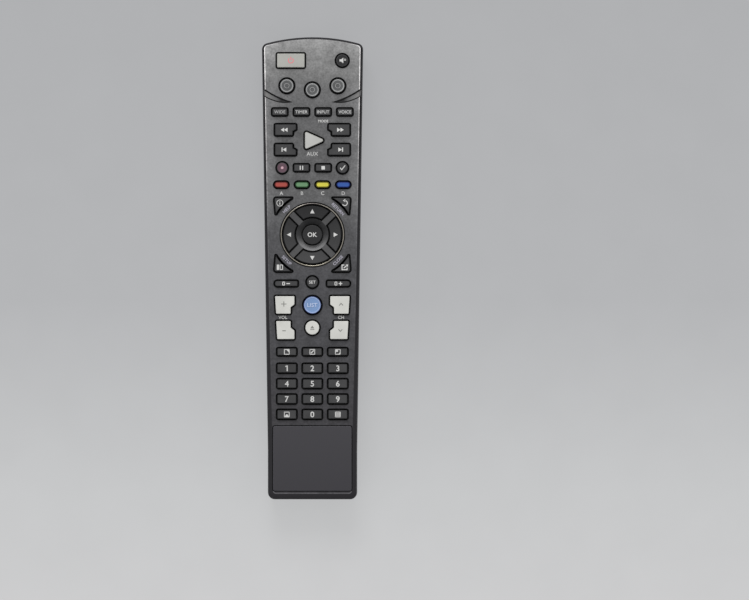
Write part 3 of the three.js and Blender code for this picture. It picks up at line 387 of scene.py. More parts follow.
def plan(tail_inset, head_inset=None, tail_run=0):
    """The whole outline, whose inset eases from one at the tail to another at the head."""
    at_tail = half_plan(tail_inset, tail_run)
    at_head = half_plan(tail_inset if head_inset is None else head_inset, tail_run)
    right = []
    for tail_point, head_point in zip(at_tail, at_head):
        share = (tail_point.y - TAIL_END) / CASE_LENGTH
        right.append(tail_point.lerp(head_point, 1 - (1 - share) ** 2))
    return right + [Vector((-point.x, point.y)) for point in right[-2::-1]]


def notched(width, depth, notch, lean, slant, grow):
    """A rectangle with a slanted notch in its lower right corner. Its left edge leans in down the key."""
    x = width / 2
    y = depth / 2
    notch_start, notch_end = (share * depth for share in NOTCH_SHARES)
    return polygon([
        (-x + lean + slant, -y, KEY_CORNER),
        (x - notch, -y, KEY_CORNER),
        (x - notch, notch_end, NOTCH_CORNER),
        (x, notch_start, NOTCH_CORNER),
        (x, y, KEY_CORNER),
        (-x + lean, y, KEY_CORNER),
    ], grow)


def sector():
    """A navigation key between two spokes, round the ring's middle, facing +Y."""
    outer_span = pi / 4 + asin(SPOKE_WIDTH / 2 / SECTOR_OUTER)
    inner_span = pi / 4 + asin(SPOKE_WIDTH / 2 / SECTOR_INNER)
    outer = arc(SECTOR_OUTER, outer_span, pi - outer_span, SECTOR_STEPS)
    return outer + arc(SECTOR_INNER, pi - inner_span, inner_span, SECTOR_STEPS)


# Shapes and pieces


class Shape:
    """Points in millimetres, and faces that each have the number of a material."""

    def __init__(self):
        self.points = []
        self.faces = []
        self.numbers = []

    def ring(self, outline, height):
        first = len(self.points)
        for point in outline:
            z = height(point) if callable(height) else height
            self.points.append((point.x, point.y, z))
        return list(range(first, len(self.points)))

    def face(self, corners, number=0):
        self.faces.append(corners)
        self.numbers.append(number)

    def band(self, lower, upper, number=0):
        for i in range(len(lower)):
            j = (i + 1) % len(lower)
            self.face([lower[i], lower[j], upper[j], upper[i]], number)

    def folded(self, ring, number):
        """Closes a ring whose halves run side by side, with faces that join each point to its mate."""
        last = len(ring) - 1
        for i in range(last // 2):
            corners = [ring[i], ring[i + 1], ring[last - i - 1], ring[last - i]]
            self.face(list(dict.fromkeys(corners)), number)

    def stack(self, layers, numbers, close=None):
        """A closed body through outlines with equal counts of points. Layers are (outline, height)."""
        close = close or self.face
        rings = [self.ring(outline, height) for outline, height in layers]
        close(rings[0][::-1], numbers[0])
        for lower, upper, number in zip(rings, rings[1:], numbers[1:]):
            self.band(lower, upper, number)
        close(rings[-1], numbers[-1])

    def prism(self, outline, low, high, number):
        self.stack([(outline, low), (outline, high)], [number] * 3)

    def mesh(self, name, materials):
        mesh = bpy.data.meshes.new(name)
        mesh.from_pydata([Vector(point) * MM for point in self.points], [], self.faces)
        for material in materials:
            mesh.materials.append(material)
        mesh.polygons.foreach_set("material_index", self.numbers)
        mesh.update()
        return mesh


def add_object(name, data):
    piece = bpy.data.objects.new(name, data)
    bpy.context.collection.objects.link(piece)
    return piece


def smooth(piece):
    piece.data.shade_smooth()
    piece.data.set_sharp_from_angle(angle=SHARP_ANGLE)
    weighted = piece.modifiers.new("normals", "WEIGHTED_NORMAL")
    weighted.keep_sharp = True


def cut(target, cutters):
    """Cuts one shape after another out of a piece, for good."""
    for cutter in cutters:
        tool = add_object("tool", cutter.mesh("tool", target.data.materials[:]))
        modifier = target.modifiers.new("cut", "BOOLEAN")
        modifier.operation = "DIFFERENCE"
        modifier.solver = "MANIFOLD"
        modifier.object = tool
        graph = bpy.context.evaluated_depsgraph_get()
        result = bpy.data.meshes.new_from_object(target.evaluated_get(graph))
        target.modifiers.clear()
        target.data = result
        bpy.data.objects.remove(tool)


def add_piece(name, shape, materials, body, nodes=(), cutters=()):
    piece = add_object(name, shape.mesh(name, materials))
    cut(piece, cutters)
    smooth(piece)
    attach(piece, body)
    if nodes:
        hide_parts(*nodes)


# Materials


def linear(colour):
    """An sRGB colour of 0 to 255 in the linear values that a shader takes."""
    shares = [value / 255 for value in colour]
    return [(s / 12.92 if s <= 0.04045 else ((s + 0.055) / 1.055) ** 2.4) for s in shares] + [1]


def wire(node, inputs):
    """Gives each input of a node its own value, or the output of another node."""
    for name, value in inputs.items():
        if isinstance(value, bpy.types.NodeSocket):
            node.id_data.links.new(value, node.inputs[name])
        else:
            node.inputs[name].default_value = value


def add_node(tree, kind, inputs, **settings):
    node = tree.nodes.new(kind)
    for name, value in settings.items():
        setattr(node, name, value)
    wire(node, inputs)
    return node


class Finish:
    """A material and the nodes that make it."""

    def __init__(self, name, roughness, metallic=0.0):
        self.material = bpy.data.materials.new(name)
        self.material.use_nodes = True
        self.tree = self.material.node_tree
        self.shader = self.tree.nodes["Principled BSDF"]
        self.roughness = roughness
        wire(self.shader, {"Roughness": roughness, "Metallic": metallic, "Specular IOR Level": GLOSS})
        self.place = self.node("ShaderNodeTexCoord", {}).outputs["Object"]

    def node(self, kind, inputs, **settings):
        return add_node(self.tree, kind, inputs, **settings)

    def noise(self, scale, detail=2.0):
        """Noise whose grain is about a scale's worth of cells to the metre."""
        inputs = {"Vector": self.place, "Scale": scale, "Detail": detail}
        return self.node("ShaderNodeTexNoise", inputs).outputs["Fac"]

    def spread(self, value, low, high, source=(0.3, 0.7)):
        """A value from one range drawn out to another."""
        names = ("Value", "From Min", "From Max", "To Min", "To Max")
        inputs = dict(zip(names, (value, *source, low, high)))
        return self.node("ShaderNodeMapRange", inputs).outputs["Result"]

    def varied(self, value, variation):
        """A noise as a factor that strays from one by a share on either side."""
        return self.spread(value, 1 - variation, 1 + variation)

    def ramp(self, value, stops):
        """Colours along a value, from stops of (place, sRGB colour)."""
        node = self.node("ShaderNodeValToRGB", {"Fac": value})
        elements = node.color_ramp.elements
        while len(elements) < len(stops):
            elements.new(0.5)
        for element, (place, colour) in zip(elements, stops):
            element.position = place
            element.color = linear(colour)
        return node.outputs["Color"]

    def axis(self, name):
        return self.node("ShaderNodeSeparateXYZ", {"Vector": self.place}).outputs[name]

    def along(self, low, high):
        """Where a point lies between two places in millimetres along the case, as a share."""
        return self.spread(self.axis("Y"), 0, 1, (low * MM, high * MM))

    def aside(self, low, high):
        """Where a point lies between two distances in millimetres from the middle line, as a share."""
        distance = self.node("ShaderNodeMath", {0: self.axis("X")}, operation="ABSOLUTE")
        return self.spread(distance.outputs["Value"], 0, 1, (low * MM, high * MM))

    def times(self, colour, value):
        """A colour made lighter and darker by a value about one."""
        grey = self.node("ShaderNodeCombineColor", dict.fromkeys(("Red", "Green", "Blue"), value))
        inputs = {"Factor": 1, "A": colour, "B": grey.outputs["Color"]}
        return self.node("ShaderNodeMix", inputs, data_type="RGBA", blend_type="MULTIPLY").outputs["Result"]

    def paint(self, colour):
        wire(self.shader, {"Base Color": colour})

    def bump(self, height, depth):
        """Raises the surface by a depth in millimetres where the height is one."""
        node = self.node("ShaderNodeBump", {"Strength": 1, "Distance": depth * MM, "Height": height})
        wire(self.shader, {"Normal": node.outputs["Normal"]})

    def grained(self, base, grain, variation, depth, gloss_range=GLOSS_RANGE):
        """Paints a colour with a grain in its lightness and height, and in its gloss if that has a range."""
        self.paint(self.times(base, self.varied(grain, variation)))
        if gloss_range:
            low, high = (self.roughness + change for change in gloss_range)
            wire(self.shader, {"Roughness": self.spread(grain, low, high)})
        self.bump(grain, depth)
        return self.material


def moulded(
    name, colour, roughness=0.5, variation=FINE_VARIATION, grain=FINE_SCALE, depth=FINE_DEPTH, metallic=0.0,
):
    """Moulded plastic or paint: a colour that drifts slightly, over a fine grain."""
    finish = Finish(name, roughness, metallic)
    darker = [value * (1 - variation) for value in colour]
    lighter = [min(value * (1 + variation), 255) for value in colour]
    base = finish.ramp(finish.spread(finish.noise(DRIFT_SCALE, 3), 0, 1), [(0, darker), (1, lighter)])
    return finish.grained(base, finish.noise(grain), variation, depth)


def shaded(
    name, low, high, stops, roughness=0.5, variation=0.1, grain=2200, depth=FINE_DEPTH, metallic=0.0,
    gloss_range=GLOSS_RANGE,
):
    """Plastic or metal whose colour follows the stops from one place along the case to another."""
    finish = Finish(name, roughness, metallic)
    base = finish.ramp(finish.along(low, high), stops)
    return finish.grained(base, finish.noise(grain), variation, depth, gloss_range)


def evenly(*colours):
    return [(i / (len(colours) - 1), colour) for i, colour in enumerate(colours)]


def round_ring(name, reach, *colours):
    """Plastic round the middle key, with evenly spaced colours from the tail's side to the head's, a painted
    light and shade that darkens towards the head's side.
    """
    return shaded(name, navigation.y - reach, navigation.y + reach, evenly(*colours))


def painted_sheen(finish):
    """A painted sheen: a factor of one along the face's middle, and more towards its sides from the wheel to
    the head.
    """
    level = finish.node("ShaderNodeFloatCurve", {"Value": finish.along(TAIL_END, HEAD_END)})
    curve = level.mapping.curves[0]
    curve.points[0].location = (0, 0)
    curve.points[1].location = (1, SIDE_SHEEN_STOPS[-1][1])
    for place, height in SIDE_SHEEN_STOPS:
        curve.points.new(place, height)
    level.mapping.update()
    inputs = {0: level.outputs["Value"], 1: finish.aside(SIDE_SHEEN_START, HEAD_WIDTH / 2), 2: 1}
    return finish.node("ShaderNodeMath", inputs, operation="MULTIPLY_ADD").outputs["Value"]


def graded(name, stops, variation):
    """The face's paint, whose metallic grey darkens from the head to the tail and has a coarse grain. Its
    stops mix a fade of the paint with painted sheen and painted highlight, and a painted sheen lifts its
    sides.
    """
    finish = Finish(name, 0.5)
    base = finish.times(finish.ramp(finish.along(TAIL_END, HEAD_END), stops), painted_sheen(finish))
    coarse = finish.times(base, finish.varied(finish.noise(COARSE_SCALE, 5), variation))
    return finish.grained(coarse, finish.noise(FLAKE_SCALE, 3), variation, 0.01, FLAKE_GLOSS_RANGE)


def groove_shade_finish():
    """Grey paint with painted shade where the crescents narrow to their tips."""
    finish = Finish("groove_painted_shade", 0.5)
    base = finish.ramp(finish.aside(GROOVE_TIP, GROOVE_OUTER), GROOVE_SHADE_STOPS)
    return finish.grained(base, finish.noise(FINE_SCALE), FINE_VARIATION, FINE_DEPTH, None)


def board_finish():
    """Green lacquer over tracks that run along the board."""
    finish = Finish("board_lacquer", 0.35)
    inputs = {"Scale": TRACK_SCALE, "Distortion": TRACK_BEND, "Vector": finish.place}
    tracks = finish.node("ShaderNodeTexWave", inputs, bands_direction="X").outputs["Fac"]
    finish.paint(finish.ramp(tracks, [(0.35, (36, 98, 56)), (0.55, (56, 128, 74))]))
    finish.bump(tracks, 0.03)
    return finish.material


def diode_finish():
    """Clear blue epoxy."""
    finish = Finish("diode_epoxy", 0.08)
    finish.paint(finish.ramp(finish.noise(900), [(0.3, (150, 168, 200)), (0.7, (176, 190, 214))]))
    wire(finish.shader, {"Transmission Weight": 0.7, "IOR": 1.5})
    return finish.material


def battery_finish(name, is_raised_at_head):
    """A dark sleeve with a copper band at the cell's raised end."""
    low, high = box_mm(name)
    dark = (44, 46, 52)
    band = (176, 112, 62)
    stops = [(0, dark), (0.72, dark), (0.725, band), (1, band)]
    if not is_raised_at_head:
        stops = [(1 - place, colour) for place, colour in stops[::-1]]
    return shaded(f"{name}_sleeve", low.y, high.y, stops, 0.3, 0.06, 900, 0.004, 0.3, None)


# The face's paint: a fade from the head to the tail together with a painted sheen near the head
panel = graded("panel_paint_and_sheen", PANEL_FADE_AND_SHEEN_STOPS, 0.19)
# The panel's bevel, with a painted highlight near the head
panel_edge_highlight = graded("panel_edge_painted_highlight", EDGE_HIGHLIGHT_STOPS, 0.24)
groove_floor_shade = groove_shade_finish()
# Painted shadow on the crescents' walls and lips
groove_wall_shadow = moulded("groove_wall_painted_shadow", (15, 15, 16), 0.7)
# Dark rubber for the keys' flanges, webs and stems, and painted shade on the walls and chamfers of the holes,
# the ring's groove and the plate's pocket
gap_rubber_and_shade = moulded("gap_shadow_plastic", (34, 34, 35), 0.7)
plate_edge = moulded("plate_edge_gloss", (72, 71, 76), 0.34, 0.05, 3000, 0.003)
dark_key = moulded("dark_key_rubber", (64, 64, 65), 0.55)
# Painted shade on the rounded edges of the dark, grey and middle keys
dark_key_shaded_edge = moulded("dark_key_shaded_edge_rubber", (48, 48, 49))
ok_rubber = moulded("ok_key_rubber", (42, 42, 43), 0.55)
black_key = moulded("black_key_gloss", (44, 44, 45), 0.3, 0.05)
grey_key = moulded("grey_key_plastic", (90, 91, 92))
grey_rim = moulded("grey_key_rim_plastic", (150, 151, 151), 0.4)
light_key = moulded("light_key_plastic", (166, 166, 161), 0.5, 0.03)
play_paint = moulded("play_key_plastic", (180, 180, 177), 0.5, 0.03)
cream_key = moulded("cream_key_plastic", (206, 206, 201), 0.5, 0.03)
record_paint = moulded("record_key_plastic", (98, 76, 86))
guide_paint = moulded("guide_key_plastic", (124, 153, 196), 0.45, 0.05)
guide_rim = moulded("guide_key_rim_plastic", (152, 172, 212), 0.4, 0.05)
# Painted shade on the guide key's rounded edge
guide_shaded_edge = moulded("guide_key_shaded_edge_plastic", (30, 44, 92), 0.45, 0.05)
white_ink = moulded("white_ink", (206, 206, 204), 0.6, 0.04)
pale_ink = moulded("pale_ink", (184, 184, 183), 0.6, 0.06)
dull_ink = moulded("dull_ink", (158, 158, 158), 0.6, 0.06)
grey_ink = moulded("grey_ink", (128, 128, 124), 0.6, 0.06)
lilac_ink = moulded("lilac_ink", (172, 170, 182), 0.6, 0.06)
red_ink = moulded("red_ink", (214, 128, 134), 0.6, 0.05)
blue_ink = moulded("pale_blue_ink", (186, 200, 228), 0.6, 0.05)
pink_ink = moulded("pink_ink", (204, 168, 178), 0.6, 0.05)
nickel = moulded("contact_nickel", (200, 198, 190), 0.28, 0.06, 1400, 0.006, 1.0)
window_plastic = moulded("window_plastic", (24, 10, 14), 0.08, 0.1, 400, 0.002)
rubber = moulded("mat_rubber", (132, 132, 128), 0.8, 0.06, 1800, 0.02)
chip_epoxy = moulded("chip_epoxy", (30, 30, 32), 0.6, 0.1, 3000, 0.02)
shell = shaded("shell_plastic", TAIL_END, HEAD_END, evenly((38, 37, 40), (31, 30, 33)), 0.5, 0.06, depth=0.02)
# The chrome ring, whose colour carries a painted reflection
ring_chrome_painted_reflection = shaded("ring_chrome_painted_reflection", ring_low.y, ring_high.y, RING_REFLECTION_STOPS, 0.24, 0.08, 900, 0.004, 1.0)
# Painted light and shade round the middle key: lighter on the tail's side, darker on the head's
navigation_key_rubber_and_shade = round_ring("navigation_key_painted_shade_rubber", SECTOR_OUTER, (66, 66, 67), (37, 37, 38))
navigation_shaded_edge = round_ring("navigation_key_shaded_edge_rubber", SECTOR_OUTER, (46, 46, 47), (24, 24, 25))
navigation_floor_shade = round_ring("navigation_floor_painted_shade", SECTOR_OUTER, (84, 84, 85), (76, 76, 77))
dish_painted_light_and_shade = round_ring(
    "dish_painted_light_and_shade", DISH_RADIUS, (124, 124, 125), (118, 118, 119), (82, 82, 83), (58, 58, 59), (48, 48, 49),
    (40, 40, 41), (36, 36, 37),
)
plate_tones = evenly((60, 59, 63), (66, 65, 69))
plate_paint = shaded("plate_gloss", plate_low.y, plate_high.y, plate_tones, 0.32, 0.03, 3000, 0.003)

# Printed signs


class Print(Shape):
    """Ink that lies on a surface, whose height is a function of a point round the sign's place."""

    def __init__(self, place, surface):
        super().__init__()
        self.place = Vector(place)
        self.surface = surface

    def lay(self, outline, rise):
        """A ring of points at a height over the surface, from an outline round the sign's place."""
        return self.ring(moved(outline, *self.place), lambda point: self.surface(point - self.place) + rise)

    def fill(self, outline, x=0, y=0):
        placed = moved([Vector(point) for point in outline], x, y)
        low = self.lay(placed, -PRINT_SINK)
        high = self.lay(placed, PRINT_RISE)
        self.face(low[::-1])
        self.band(low, high)
        self.face(high)

    def lines(self, width, *paths):
        for path in paths:
            self.fill(stroke([Vector(point) for point in path], width))

    def hoop(self, outline, width, x=0):
        """A line of one width inside a closed outline."""
        rings = []
        for points in (outline, offset(outline, -width)):
            for rise in (-PRINT_SINK, PRINT_RISE):
                rings.append(self.lay(moved(points, x, 0), rise))
        outer_low, outer_high, inner_low, inner_high = rings
        self.band(outer_low, outer_high)
        self.band(outer_high, inner_high)
        self.band(inner_high, inner_low)
        self.band(inner_low, outer_low)

    def round(self, radius, width):
        self.hoop(circle(radius + width / 2, SIGN_STEPS), width)

    def letters(self, text, height, x=0, turn=0):
        """Words whose middle is at x, turned round it. The height is that of a capital letter."""
        curve = bpy.data.curves.new("letters", "FONT")
        curve.body = text
        curve.size = height / CAPITAL_SHARE
        curve.extrude = 1
        curve.offset = height * LETTER_WEIGHT_SHARE
        curve.resolution_u = LETTER_STEPS
        curve.space_character = LETTER_SPACING
        source = add_object("letters", curve)
        graph = bpy.context.evaluated_depsgraph_get()
        mesh = bpy.data.meshes.new_from_object(source.evaluated_get(graph))
        bpy.data.objects.remove(source)
        xs = [vertex.co.x for vertex in mesh.vertices]
        ys = [vertex.co.y for vertex in mesh.vertices]
        middle = Vector((min(xs) + max(xs), min(ys) + max(ys))) / 2
        first = len(self.points)
        for vertex in mesh.vertices:
            outline = moved(turned([vertex.co.xy - middle], turn), x, 0)
            self.lay(outline, PRINT_RISE if vertex.co.z > 0 else -PRINT_SINK)
        for face in mesh.polygons:
            self.face([first + index for index in face.vertices])
        bpy.data.meshes.remove(mesh)


def triangle(width, height, side=1):
    """A solid arrowhead that points along X, on either side."""
    points = [Vector((-width / 2, -height / 2)), Vector((width / 2, 0)), Vector((-width / 2, height / 2))]
    return flipped(points, side, 1)


def sharp_box(width, depth):
    return rectangle(width, depth, SIGN_CORNER, steps=1)


# Signs. Each is a list of marks, and a mark is a method of a print with its values

LEFT, MIDDLE, RIGHT = PAD_COLUMNS
POWER = [(Print.lines, 0.44, arc(1.2, radians(130), radians(410), 24), [(0, 0.1), (0, 1.75)])]
PAUSE = [(Print.lines, 0.46, [(-0.58, -0.95), (-0.58, 0.95)], [(0.58, -0.95), (0.58, 0.95)])]
CONFIRM = [(Print.lines, 0.42, [(-1.1, 0), (-0.35, -0.95), (1.25, 1.15)])]
PLUS = [(Print.lines, 0.38, [(-1.25, 0), (1.25, 0)], [(0, 0.19), (0, 1.25)], [(0, -1.25), (0, -0.19)])]
MINUS = [(Print.lines, 0.4, [(-0.85, 0), (0.85, 0)])]
WEDGE_UP = [(Print.lines, 0.36, [(-0.9, -0.5), (0, 0.5), (0.9, -0.5)])]
WEDGE_DOWN = [(Print.lines, 0.36, [(-0.9, 0.5), (0, -0.5), (0.9, 0.5)])]
RECORD = [(Print.fill, circle(0.65, 24))]
STOP = [(Print.fill, rectangle(1.65, 1.65, 0.2, steps=2))]
MUTE = [
    (Print.fill, [(-1.3, -0.5), (-0.5, -0.5), (0.5, -1.35), (0.5, 1.35), (-0.5, 0.5), (-1.3, 0.5)]),
    (Print.lines, 0.32, [(0.85, 0.75), (1.7, -0.1)], [(0.85, -0.1), (1.7, 0.75)]),
]
SOURCE_MARK = [(Print.round, 1.1, 0.24)]
EJECT = [
    (Print.fill, turned(triangle(1.3, 1.9), pi / 2), 0, 0.35),
    (Print.lines, 0.36, [(-0.95, -0.85), (0.95, -0.85)]),
]
PAGE_BACK = [(Print.hoop, sharp_box(1.3, 1.8), 0.38, -1.2), (Print.lines, 0.46, [(0.1, 0), (1.8, 0)])]
PAGE_AHEAD = [*PAGE_BACK, (Print.lines, 0.46, [(0.95, 0.23), (0.95, 0.85)], [(0.95, -0.85), (0.95, -0.23)])]
INFORMATION = [(Print.round, 1.45, 0.26), (Print.lines, 0.36, [(0, -0.8), (0, 0.25)], [(0, 0.5), (0, 0.85)])]
RETURN = [
    (Print.lines, 0.4, arc(1.2, radians(-150), radians(95), 20)),
    (Print.fill, triangle(1.2, 1.5, -1), -0.35, 1.2),
]
MENU = [(Print.fill, sharp_box(1.1, 2.5), -0.9), (Print.hoop, sharp_box(1.5, 2.5), 0.34, 0.7)]
DOOR = [(1.1, -0.2), (1.1, -1.15), (-1.3, -1.15), (-1.3, 1.05), (-0.2, 1.05)]
LEAVE = [
    (Print.lines, 0.44, DOOR, [(-0.5, -0.4), (0.9, 0.75)]),
    (Print.fill, turned(triangle(1, 1.4), radians(40)), 1.2, 0.98),
]


def words(text, height):
    return [(Print.letters, text, height)]


def skip(side, is_track):
    """Two arrowheads, or one against a bar."""
    if is_track:
        bar = [(0.95 * side, -1), (0.95 * side, 1)]
        return [(Print.fill, triangle(1.7, 2, side), -0.2 * side), (Print.lines, 0.5, bar)]
    return [(Print.fill, triangle(1.6, 2, side), x * side) for x in (-0.85, 0.75)]


def digits(row, columns=PAD_COLUMNS):
    return [(Print.letters, digit, DIGIT_HEIGHT, x) for digit, x in zip(row, columns)]


def frames(*columns):
    """Square frames on the keys of a row."""
    return [(Print.hoop, sharp_box(2.62, 2.6), 0.34, x) for x in columns]


ONE_TO_THREE = [
    (Print.lines, 0.56, [(LEFT + 0.2, -1.35), (LEFT + 0.2, 1.35)]),
    (Print.lines, 0.5, [(LEFT - 0.62, 0.75), (LEFT - 0.08, 1.13)]),
    *digits("23", (MIDDLE, RIGHT)),
]
SCREENS = [
    *frames(*PAD_COLUMNS),
    (Print.fill, [(-0.2, 0.98), (0.99, -0.2), (0.99, 0.98)], LEFT),
    (Print.lines, 0.5, [(-0.7, -0.7), (0.7, 0.7)]),
    (Print.fill, [(-0.99, 0), (0.1, 0), (0.1, 0.98), (-0.99, 0.98)], RIGHT),
    (Print.fill, [(0.3, -0.98), (0.99, -0.98), (0.99, -0.2)], RIGHT),
]
LAST_ROW = [
    *frames(LEFT, RIGHT),
    (Print.fill, [(-0.95, -0.95), (0.95, -0.95), (0.3, 0.05), (-0.3, 0.05)], LEFT),
    (Print.hoop, turned(stadium(2.7, 1.75), pi / 2), 0.5),
    (Print.lines, 0.3, *([(RIGHT - 0.95, y), (RIGHT + 0.95, y)] for y in (-0.55, 0, 0.55))),
]

# Upper case

# Several of the face's finishes paint light: painted sheen and highlight on the panel, painted shade in the
# gaps and crescents and round the middle key
CASE_MATERIALS = [shell, panel, panel_edge_highlight, gap_rubber_and_shade, navigation_floor_shade, dish_painted_light_and_shade, groove_floor_shade, groove_wall_shadow]
RIM, FACE, FACE_EDGE, WALLS, NAVIGATION, DISH, GROOVE, GROOVE_SIDE = range(len(CASE_MATERIALS))


def case_blank():
    """The upper case before anything is cut: a shell, open below, with a raised panel inside its rim."""
    shape = Shape()
    shoulder = FACE_TOP - FILLET_HEIGHT
    fillet_top = FACE_TOP - PANEL_STEP
    layers = [(plan(0), SEAM_TOP)]
    for into, up in quarter(FILLET_STEPS):
        outline = plan(FRONT_DRAFT + FILLET_TAIL * into, FRONT_DRAFT + FILLET_HEAD * into, TAIL_RUN * into)
        layers.append((outline, shoulder + (fillet_top - shoulder) * up))
    outer = [shape.ring(outline, height) for outline, height in layers]
    for lower, upper in zip(outer, outer[1:]):
        shape.band(lower, upper, RIM)
    edge_tail = FRONT_DRAFT + FILLET_TAIL + PANEL_BEVEL
    edge_head = FRONT_DRAFT + FILLET_HEAD + PANEL_BEVEL
    top = shape.ring(plan(edge_tail, edge_head, TAIL_RUN), FACE_TOP)
    shape.band(outer[-1], top, FACE_EDGE)
    shape.folded(top, FACE)
    inner_low = shape.ring(plan(WALL), SEAM_TOP)
    inner_high = shape.ring(plan(WALL + FRONT_DRAFT), FACE_UNDERSIDE)
    shape.band(inner_low, outer[0], RIM)
    shape.band(inner_high, inner_low, RIM)
    shape.folded(inner_high[::-1], RIM)
    return shape


def cut_hole(shape, outline, x, y):
    """A hole for a key through the face, with a fine chamfer at its mouth. Its walls and chamfer are painted
    dark as shade.
    """
    wall = moved(outline(KEY_CLEARANCE), x, y)
    mouth = moved(outline(KEY_CLEARANCE + CHAMFER), x, y)
    layers = [
        (wall, FACE_UNDERSIDE - OVERRUN),
        (wall, FACE_TOP - CHAMFER),
        (mouth, FACE_TOP),
        (mouth, FACE_TOP + OVERRUN),
    ]
    shape.stack(layers, [WALLS] * (len(layers) + 1))


def turned_ring(radius):
    return moved(circle(radius, 2 * ROUND_STEPS), 0, navigation.y)


def cut_navigation(shape):
    """The dish round the middle key, the shallow floor round it and the ring's groove, as one turned body."""
    inner = ring_radius - RING_WIDTH - FIT
    outer = ring_radius + RING_GROOVE
    groove_bottom = FACE_TOP - RING_DEPTH - SEAT
    profile = [
        (box_size("ok_key")[0] / 2, FACE_TOP - DISH_DEPTH),
        (DISH_RADIUS, FACE_TOP - FLOOR_STEP),
        (inner, FACE_TOP - FLOOR_STEP),
        (inner, groove_bottom),
        (outer, groove_bottom),
        (outer, FACE_TOP + OVERRUN),
    ]
    layers = [(turned_ring(radius), height) for radius, height in profile]
    shape.stack(layers, [WALLS, DISH, NAVIGATION, WALLS, WALLS, WALLS, WALLS])


def groove_edge(start, bend, lift):
    """One edge of a crescent, from the side of the case to its tip."""
    tip = Vector((GROOVE_TIP, middle_of("source_key_left").y - GROOVE_TIP_DROP))
    middle = Vector((bend, tip.y + lift))
    outer = Vector((GROOVE_OUTER, tip.y + start))
    shares = [i / GROOVE_STEPS for i in range(GROOVE_STEPS + 1)]
    return [outer.lerp(middle, share).lerp(middle.lerp(tip, share), share) for share in shares]


def cut_crescent(shape, side):
    """A crescent that is deepest along its upper edge. A wall and a lip, painted dark as shadow, run along
    its two edges.
    """
    upper = groove_edge(GROOVE_UPPER_START, GROOVE_UPPER_BEND, GROOVE_UPPER_LIFT)
    lower = groove_edge(GROOVE_LOWER_START, GROOVE_LOWER_BEND, -GROOVE_LOWER_DROP)
    under = []
    over = []
    depths = []
    for high, low in zip(upper, lower):
        width = high.y - low.y
        under.append(high - Vector((0, min(GROOVE_WALL, width * GROOVE_WALL_SHARE))))
        over.append(low + Vector((0, min(GROOVE_LIP, width * GROOVE_LIP_SHARE))))
        share = (high.x - GROOVE_TIP) / (GROOVE_OUTER - GROOVE_TIP)
        depths.append(GROOVE_DEPTH * (GROOVE_TIP_SHARE + (1 - GROOVE_TIP_SHARE) * share))
    mouth = flipped(upper + lower[-2::-1], side, 1)
    floor = flipped(under + over[-2::-1], side, 1)
    depth_at = {(point.x * side, point.y): depth for point, depth in zip(under, depths)}

    def floor_height(point):
        return FACE_TOP - depth_at.get((point.x, point.y), GROOVE_LOWER_DEPTH)

    layers = [(floor, floor_height), (mouth, FACE_TOP), (mouth, FACE_TOP + OVERRUN)]
    shape.stack(layers, [GROOVE, GROOVE_SIDE, GROOVE_SIDE, GROOVE_SIDE], shape.folded)


# Outlines of keys, from the size of a key's cap and how far the outline is grown, and their tops


def round_key(size, grow):
    return circle(size[1] / 2 + grow)


def square_key(size, grow):
    return rectangle(*size, grow=grow)


def pill_key(size, grow):
    return stadium(*(length + 2 * grow for length in size))


def pad_key(size, grow):
    return rectangle(PAD_KEY_WIDTH, size[1], grow=grow)


def skip_key(size, grow):
    return notched(*size, SKIP_NOTCH, 0, 0, grow)


def play_key(size, grow):
    points = [(0, -PLAY_HALF), (PLAY_LENGTH, 0), (0, PLAY_HALF)]
    return polygon([(*point, PLAY_CORNER) for point in points], grow)


def page_key(size, grow):
    x, y = (length / 2 for length in size)
    corners = [(-x, -y, PAGE_CORNER), (x, -y, KEY_CORNER), (x, y, KEY_CORNER), (-x, y, PAGE_CORNER)]
    return polygon(corners, grow)


def rocker_key(trim, lean, slant):
    """A notched key whose outer side slants. It is trimmed at the end away from the notch."""
    def outline(size, grow):
        return moved(notched(ROCKER_WIDTH, size[1] - trim, ROCKER_NOTCH, lean, slant, grow), 0, -trim / 2)
    return outline


def sector_key(size, grow):
    return offset(sector(), grow)


def corner_key(size, grow):
    """A three-sided key in the upper left, round the ring's middle. Its hollow side follows the ring."""
    top_level = CORNER_KEY_HEIGHT - CORNER_KEY_BLUNT
    side_level = CORNER_KEY_WIDTH - CORNER_KEY_SLANT - CORNER_KEY_BLUNT
    top_reach = sqrt(CORNER_KEY_RADIUS ** 2 - top_level ** 2)
    side_reach = sqrt(CORNER_KEY_RADIUS ** 2 - side_level ** 2)
    lean = CORNER_KEY_BLUNT * BLUNT_LEAN_SHARE
    start = atan2(side_reach, -side_level)
    end = atan2(top_level, -top_reach)
    hollow = [(point.x, point.y, 0) for point in arc(CORNER_KEY_RADIUS, start, end, SECTOR_STEPS)]
    hollow[0] = (*hollow[0][:2], CORNER_KEY_TIP)
    hollow[-1] = (*hollow[-1][:2], CORNER_KEY_TIP)
    return polygon([
        (lean - top_reach, CORNER_KEY_HEIGHT, CORNER_KEY_TIP),
        (-CORNER_KEY_WIDTH, CORNER_KEY_HEIGHT, CORNER_KEY_CORNER),
        (CORNER_KEY_SLANT - CORNER_KEY_WIDTH, side_reach - lean, CORNER_KEY_TIP),
        *hollow,
    ], grow)


def sector_height(top):
    """The height of a navigation key's top, which falls towards the middle key."""
    def height(point):
        share = (SECTOR_OUTER - hypot(point.x, point.y)) / (SECTOR_OUTER - SECTOR_INNER)
        return top - SECTOR_SLOPE * share
    return height


# Keys. Their list makes the caps with their signs, and the holes in the face

# Each key's second finish paints its rounded edge; where it is darker than the top, that is painted shade
DARK = (dark_key, dark_key_shaded_edge)
CREAM = (cream_key, cream_key)
GUIDE = (guide_paint, guide_shaded_edge, guide_rim)
SOURCE = (grey_key, dark_key_shaded_edge, grey_rim)
